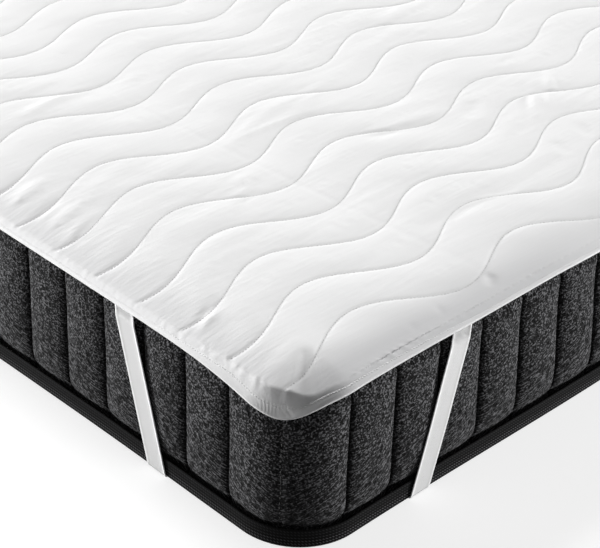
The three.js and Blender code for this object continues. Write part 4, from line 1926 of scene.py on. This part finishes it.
@dataclass(frozen=True)
class HeatherKnit(Finish):
    """Thick knitted border cloth in mixed charcoal yarns: pale flecks and leaning strokes, with painted
    shade in its pits and in the grooves between the rolls.
    """

    lean: float = 0.5
    bead: float = 4.6
    stroke: Span = (8.0, 1.7)
    loop: float = 1.9
    gap: float = 7.5
    pale: str = "6C6C6E"
    dark: str = "060606"
    # Colour of the painted shade in the gaps and grooves.
    painted_shade_black: str = "020202"

    def build(self) -> Material:
        """Build the material.

        Returns:
            The new material.
        """
        material, tree = self.start()
        place = add_node(tree, "TexCoord", {}, {}).outputs["Object"]
        run, up, groove = (
            add_node(tree, "Attribute", {"attribute_name": name}, {}).outputs["Fac"]
            for name in ("run", "up", "groove")
        )
        # The yarns lean down towards the border's join on both sides of it.
        fall = add_node(tree, "Math", MULTIPLY, {0: run, 1: self.lean})
        along = add_node(tree, "Math", MULTIPLY, {0: run, 1: 1.0 / self.stroke[0]})
        level = add_node(tree, "Math", SUBTRACT, {0: up, 1: fall})
        across = add_node(tree, "Math", MULTIPLY, {0: level, 1: 1.0 / self.stroke[1]})
        leaning = add_node(tree, "CombineXYZ", {}, {0: along, 1: across})
        strokes = add_node(tree, "TexNoise", {}, {"Vector": leaning, "Scale": 1.0, "Detail": 1.5})
        # Yarn loops of about 2 mm, with deep gaps between some of them.
        size = {"Scale": 1.0 / (self.loop * MM), "Detail": 1.0}
        grain = add_node(tree, "TexNoise", {}, {"Vector": place, **size})
        gaps = add_node(tree, "TexVoronoi", {}, {"Vector": place, "Scale": 1.0 / (self.gap * MM)})
        pit_relief_and_shade = add_node(tree, "MapRange", SMOOTH, {0: gaps, 1: 0.24, 2: 0.34, 3: 1.0, 4: 0.0})
        lower = add_node(tree, "MapRange", SMOOTH, {0: up, 1: 50.0, 2: 120.0, 3: 0.62, 4: 0.3})
        woven = add_node(tree, "Mix", {"data_type": "FLOAT"}, {0: lower, 2: grain, 3: strokes})
        pale = add_node(tree, "MapRange", SMOOTH, {0: woven, 1: 0.49, 2: 0.63, 3: 0.0, 4: 1.0})
        dark = add_node(tree, "MapRange", SMOOTH, {0: woven, 1: 0.39, 2: 0.49, 3: 1.0, 4: 0.0})
        yarns = {6: linear(self.colour), 7: linear(self.pale)}
        light = add_node(tree, "Mix", COLOURS, {0: pale, **yarns}).outputs[2]
        mixed = add_node(tree, "Mix", COLOURS, {0: dark, 6: light, 7: linear(self.dark)}).outputs[2]
        # Painted shade: the gaps between the loops, and the grooves between the rolls, are painted nearly
        # black, as shade falls in them.
        painted_groove_shade = add_node(tree, "MapRange", SMOOTH, {0: groove, 1: 0.5, 2: 3.2, 3: 1.0, 4: 0.0})
        deep = add_node(tree, "Math", MAXIMUM, {0: painted_groove_shade, 1: pit_relief_and_shade})
        painted_shade = add_node(tree, "Math", MULTIPLY, {0: deep, 1: 0.85})
        colour = add_node(tree, "Mix", COLOURS, {0: painted_shade, 6: mixed, 7: linear(self.painted_shade_black)}).outputs[2]
        # Stitches draw the rolls' edges into small beads.
        bead_turn = add_node(tree, "Math", MULTIPLY, {0: up, 1: TURN / self.bead})
        beads = add_node(tree, "Math", SINE, {0: bead_turn})
        beside = add_node(tree, "MapRange", SMOOTH, {0: groove, 1: 1.0, 2: 4.0, 3: 0.35, 4: 0.0})
        beaded = add_node(tree, "Math", MULTIPLY, {0: beads, 1: beside})
        relief = add_node(tree, "Math", SUBTRACT, {0: woven, 1: pit_relief_and_shade})
        height = add_node(tree, "Math", ADD, {0: relief, 1: beaded})
        bump = add_node(tree, "Bump", {}, {"Strength": 0.8, "Distance": 0.0014, "Height": height})
        surface = add_node(tree, "BsdfPrincipled", {}, self.look(colour, bump))
        add_node(tree, "OutputMaterial", {}, {"Surface": surface})
        return material


@dataclass(frozen=True)
class WovenTape(Finish):
    """Woven polyester edge tape, near black, with pale dots of its weave painted only on the raised ribs as
    a highlight, fading towards the top as painted shade under the rolls.
    """

    pick: float = 3.4
    rib: float = 3.6
    pale: str = "525254"

    def build(self) -> Material:
        """Build the material.

        Returns:
            The new material.
        """
        material, tree = self.start()
        up = add_node(tree, "Attribute", {"attribute_name": "up"}, {}).outputs["Fac"]
        travel = add_node(tree, "Attribute", {"attribute_name": "travel"}, {}).outputs["Fac"]
        # The weave's picks are about 1 mm, drawn at 3.4 mm so that they show as dots.
        leaning = add_node(tree, "Math", ADD, {0: travel, 1: up})
        pick_turn = add_node(tree, "Math", MULTIPLY, {0: leaning, 1: TURN / self.pick})
        rib_turn = add_node(tree, "Math", MULTIPLY, {0: up, 1: TURN / self.rib})
        picks = add_node(tree, "Math", SINE, {0: pick_turn})
        ribs = add_node(tree, "Math", SINE, {0: rib_turn})
        # Painted highlight and shade: the weave's pale dots show only on the crests of the ribs, and fade
        # towards the tape's top under the rolls' foot.
        dots = add_node(tree, "MapRange", SMOOTH, {0: picks, 1: -0.3, 2: 0.6, 3: 0.05, 4: 1.0})
        rib_highlight = add_node(tree, "MapRange", SMOOTH, {0: ribs, 1: -0.2, 2: 0.7, 3: 0.0, 4: 1.0})
        dotted = add_node(tree, "Math", MULTIPLY, {0: dots, 1: rib_highlight})
        low = add_node(tree, "MapRange", SMOOTH, {0: up, 1: 6.0, 2: 14.0, 3: 1.0, 4: 0.25})
        pale = add_node(tree, "Math", MULTIPLY, {0: dotted, 1: low})
        yarns = {6: linear(self.colour), 7: linear(self.pale)}
        colour = add_node(tree, "Mix", COLOURS, {0: pale, **yarns}).outputs[2]
        bump = add_node(tree, "Bump", {}, {"Strength": 0.5, "Distance": 0.0005, "Height": dotted})
        surface = add_node(tree, "BsdfPrincipled", {}, self.look(colour, bump))
        add_node(tree, "OutputMaterial", {}, {"Surface": surface})
        return material


@dataclass(frozen=True)
class SewingThread(Finish):
    """Spun polyester sewing thread: matt, with the faint painted light and shade of its twist."""

    shaded: str = "D6D6D6"
    twist: float = 0.8

    def build(self) -> Material:
        """Build the material.

        Returns:
            The new material.
        """
        material, tree = self.start()
        place = add_node(tree, "TexCoord", {}, {}).outputs["Object"]
        twist = add_node(tree, "TexNoise", {}, {"Vector": place, "Scale": 1.0 / (self.twist * MM)})
        # Painted light and shade of the twist, from the same noise that bumps it.
        greys = {6: linear(self.colour), 7: linear(self.shaded)}
        colour = add_node(tree, "Mix", COLOURS, {0: twist, **greys}).outputs[2]
        bump = add_node(tree, "Bump", {}, {"Strength": 0.3, "Distance": 0.0002, "Height": twist})
        surface = add_node(tree, "BsdfPrincipled", {}, self.look(colour, bump))
        add_node(tree, "OutputMaterial", {}, {"Surface": surface})
        return material


# ---- Studio ----


@dataclass(frozen=True)
class SoftLight:
    """One area lamp, aimed at a point, in metres."""

    name: str
    place: tuple[float, float, float]
    target: tuple[float, float, float]
    size: tuple[float, float]
    power: float

    def build(self) -> Piece:
        """Hang the lamp.

        Returns:
            The lamp's object.
        """
        data = bpy.data.lights.new(self.name, "AREA")
        data.shape = "RECTANGLE"
        data.size, data.size_y = self.size
        data.energy = self.power
        lamp = bpy.data.objects.new(self.name, data)
        lamp.location = self.place
        aim = Vector(self.target) - Vector(self.place)
        lamp.rotation_mode = "QUATERNION"
        lamp.rotation_quaternion = aim.to_track_quat("-Z", "Y")
        bpy.context.scene.collection.objects.link(lamp)
        return lamp


@dataclass(frozen=True)
class Studio:
    """The plain white studio: floor, world, soft lights and the camera."""

    floor_size: float = 60.0
    floor_colour: str = "B4B4B4"
    floor_glow: float = 0.75
    ambient: float = 0.12
    lens: float = 102.3
    camera_place: tuple[float, float, float] = (-1.5422, -1.8256, 1.0796)
    heading: float = 44.69
    down: float = 32.58
    roll: float = 1.83

    def seen_share(self, tree: Tree) -> bpy.types.Node:
        """Give 1 to rays that show a surface to the eye, directly or mirrored, and 0 to the rest.

        Args:
            tree: The node tree.

        Returns:
            The last node.
        """
        shown = add_node(tree, "LightPath", {}, {}).outputs
        straight = add_node(tree, "Math", MAXIMUM, {0: shown["Is Camera Ray"], 1: shown["Is Glossy Ray"]})
        return add_node(tree, "Math", MAXIMUM, {0: straight, 1: shown["Is Transmission Ray"]})

    def build_floor(self) -> None:
        """Lay the pale floor, which turns to white where nothing shades it."""
        parts = MeshParts()
        half = self.floor_size / 2 / MM
        corners = [[-half, -half, -1.0], [half, -half, -1.0], [half, half, -1.0], [-half, half, -1.0]]
        parts.quads.append(parts.add_points(corners).reshape(1, 4))
        floor = parts.make("floor")
        material = bpy.data.materials.new("painted_floor")
        material.use_nodes = True
        tree = material.node_tree
        tree.nodes.clear()
        paint = add_node(tree, "BsdfDiffuse", {}, {"Color": linear(self.floor_colour)})
        lift = add_node(tree, "Math", MULTIPLY, {0: self.seen_share(tree), 1: self.floor_glow})
        glow = add_node(tree, "Emission", {}, {"Strength": lift})
        both = add_node(tree, "AddShader", {}, {0: paint, 1: glow})
        add_node(tree, "OutputMaterial", {}, {"Surface": both})
        floor.data.materials.append(material)

    def build_world(self) -> None:
        """Fill the room with even light, and show white behind the bed."""
        world = bpy.data.worlds.new("studio")
        bpy.context.scene.world = world
        world.use_nodes = True
        tree = world.node_tree
        tree.nodes.clear()
        level = add_node(tree, "MapRange", {}, {0: self.seen_share(tree), 3: self.ambient, 4: 1.0})
        light = add_node(tree, "Background", {}, {"Color": (1.0, 1.0, 1.0, 1.0), "Strength": level})
        add_node(tree, "OutputWorld", {}, {"Surface": light})

    def build_lights(self) -> None:
        """Set a wide light behind the far end, and one low along each of the two near sides."""
        lights = (
            SoftLight("far_window", (4.4, 17.8, 15.25), (-0.4, -0.5, 0.15), (10.2, 10.2), 6950.0),
            SoftLight("left_side", (-3.76, 5.0, 0.5), (-0.7, -0.4, 0.1), (2.2, 0.9), 745.0),
            SoftLight("right_side", (4.3, -4.24, 0.46), (0.0, -1.0, 0.1), (2.2, 0.85), 520.0),
        )
        for light in lights:
            light.build()

    def build_camera(self) -> None:
        """Set up the camera at the near corner."""
        phi, theta, rho = (math.radians(v) for v in (self.heading, self.down, self.roll))
        ahead = Vector((math.cos(theta) * math.cos(phi), math.cos(theta) * math.sin(phi), -math.sin(theta)))
        level = Vector((math.sin(phi), -math.cos(phi), 0.0))
        above = level.cross(ahead)
        right = math.cos(rho) * level + math.sin(rho) * above
        up = -math.sin(rho) * level + math.cos(rho) * above
        data = bpy.data.cameras.new("camera")
        data.lens = self.lens
        data.sensor_width = 36.0
        data.clip_start, data.clip_end = 0.05, 100.0
        camera = bpy.data.objects.new("camera", data)
        axes = Matrix((right, up, -ahead)).transposed().to_4x4()
        camera.matrix_world = Matrix.Translation(Vector(self.camera_place)) @ axes
        bpy.context.scene.collection.objects.link(camera)
        bpy.context.scene.camera = camera

    def build(self) -> None:
        """Build the whole studio."""
        self.build_camera()
        self.build_floor()
        self.build_world()
        self.build_lights()
        bpy.context.scene.view_settings.view_transform = "Standard"


def main() -> None:
    """Build the bed, dress it and note its size."""
    logging.basicConfig(level=logging.INFO, format="%(name)s: %(message)s")
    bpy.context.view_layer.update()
    Studio().build()

    low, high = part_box("mattress")
    width, length = ((high[k] - low[k]) / MM for k in range(2))
    outline = Outline(width, length)
    edge = RoundedEdge(outline)
    pattern = QuiltPattern(-width / 2, -length / 2)

    microfibre = BrushedMicrofibre("brushed_microfibre_woven", "F1F1F1", 0.87, 0.08, 0.02).build()
    binding_cloth = FoldedBinding("microfibre_binding_pressed", "F2F2F2", 0.85, 0.08, 0.02).build()
    elastic = KnittedElastic("polyester_elastic_knitted", "F6F6F6", 0.75, 0.3, 0.05).build()
    knit = HeatherKnit("polyester_border_cloth_knitted", "242425", 0.92, 0.06, 0.03).build()
    tape_cloth = WovenTape("polyester_tape_woven", "040404", 0.75, 0.05, 0.0).build()
    white_thread = SewingThread("polyester_thread_white", "F0F0F0", 0.6, 0.3, 0.0).build()
    grey_thread = SewingThread("polyester_thread_pale_grey", "C8C8C8", 0.6, 0.3, 0.0, "9A9A9A").build()

    mattress = PaddedMattress(edge, high[2] / MM)
    pad = QuiltedPad(edge, pattern)
    binding = EdgeBinding(edge)
    dressed = [
        (mattress, knit),
        (BaseTape(outline), tape_cloth),
        (BorderSeam(mattress), grey_thread),
        (pad, microfibre),
        (QuiltStitches(pad), white_thread),
        (binding, binding_cloth),
        (HemStitches(binding), white_thread),
    ]
    dressed += [(CornerStrap(mattress, number), elastic) for number in range(4)]
    for part, finish in dressed:
        part.dress(part.build(), finish)


if __name__ == "__main__":
    main()
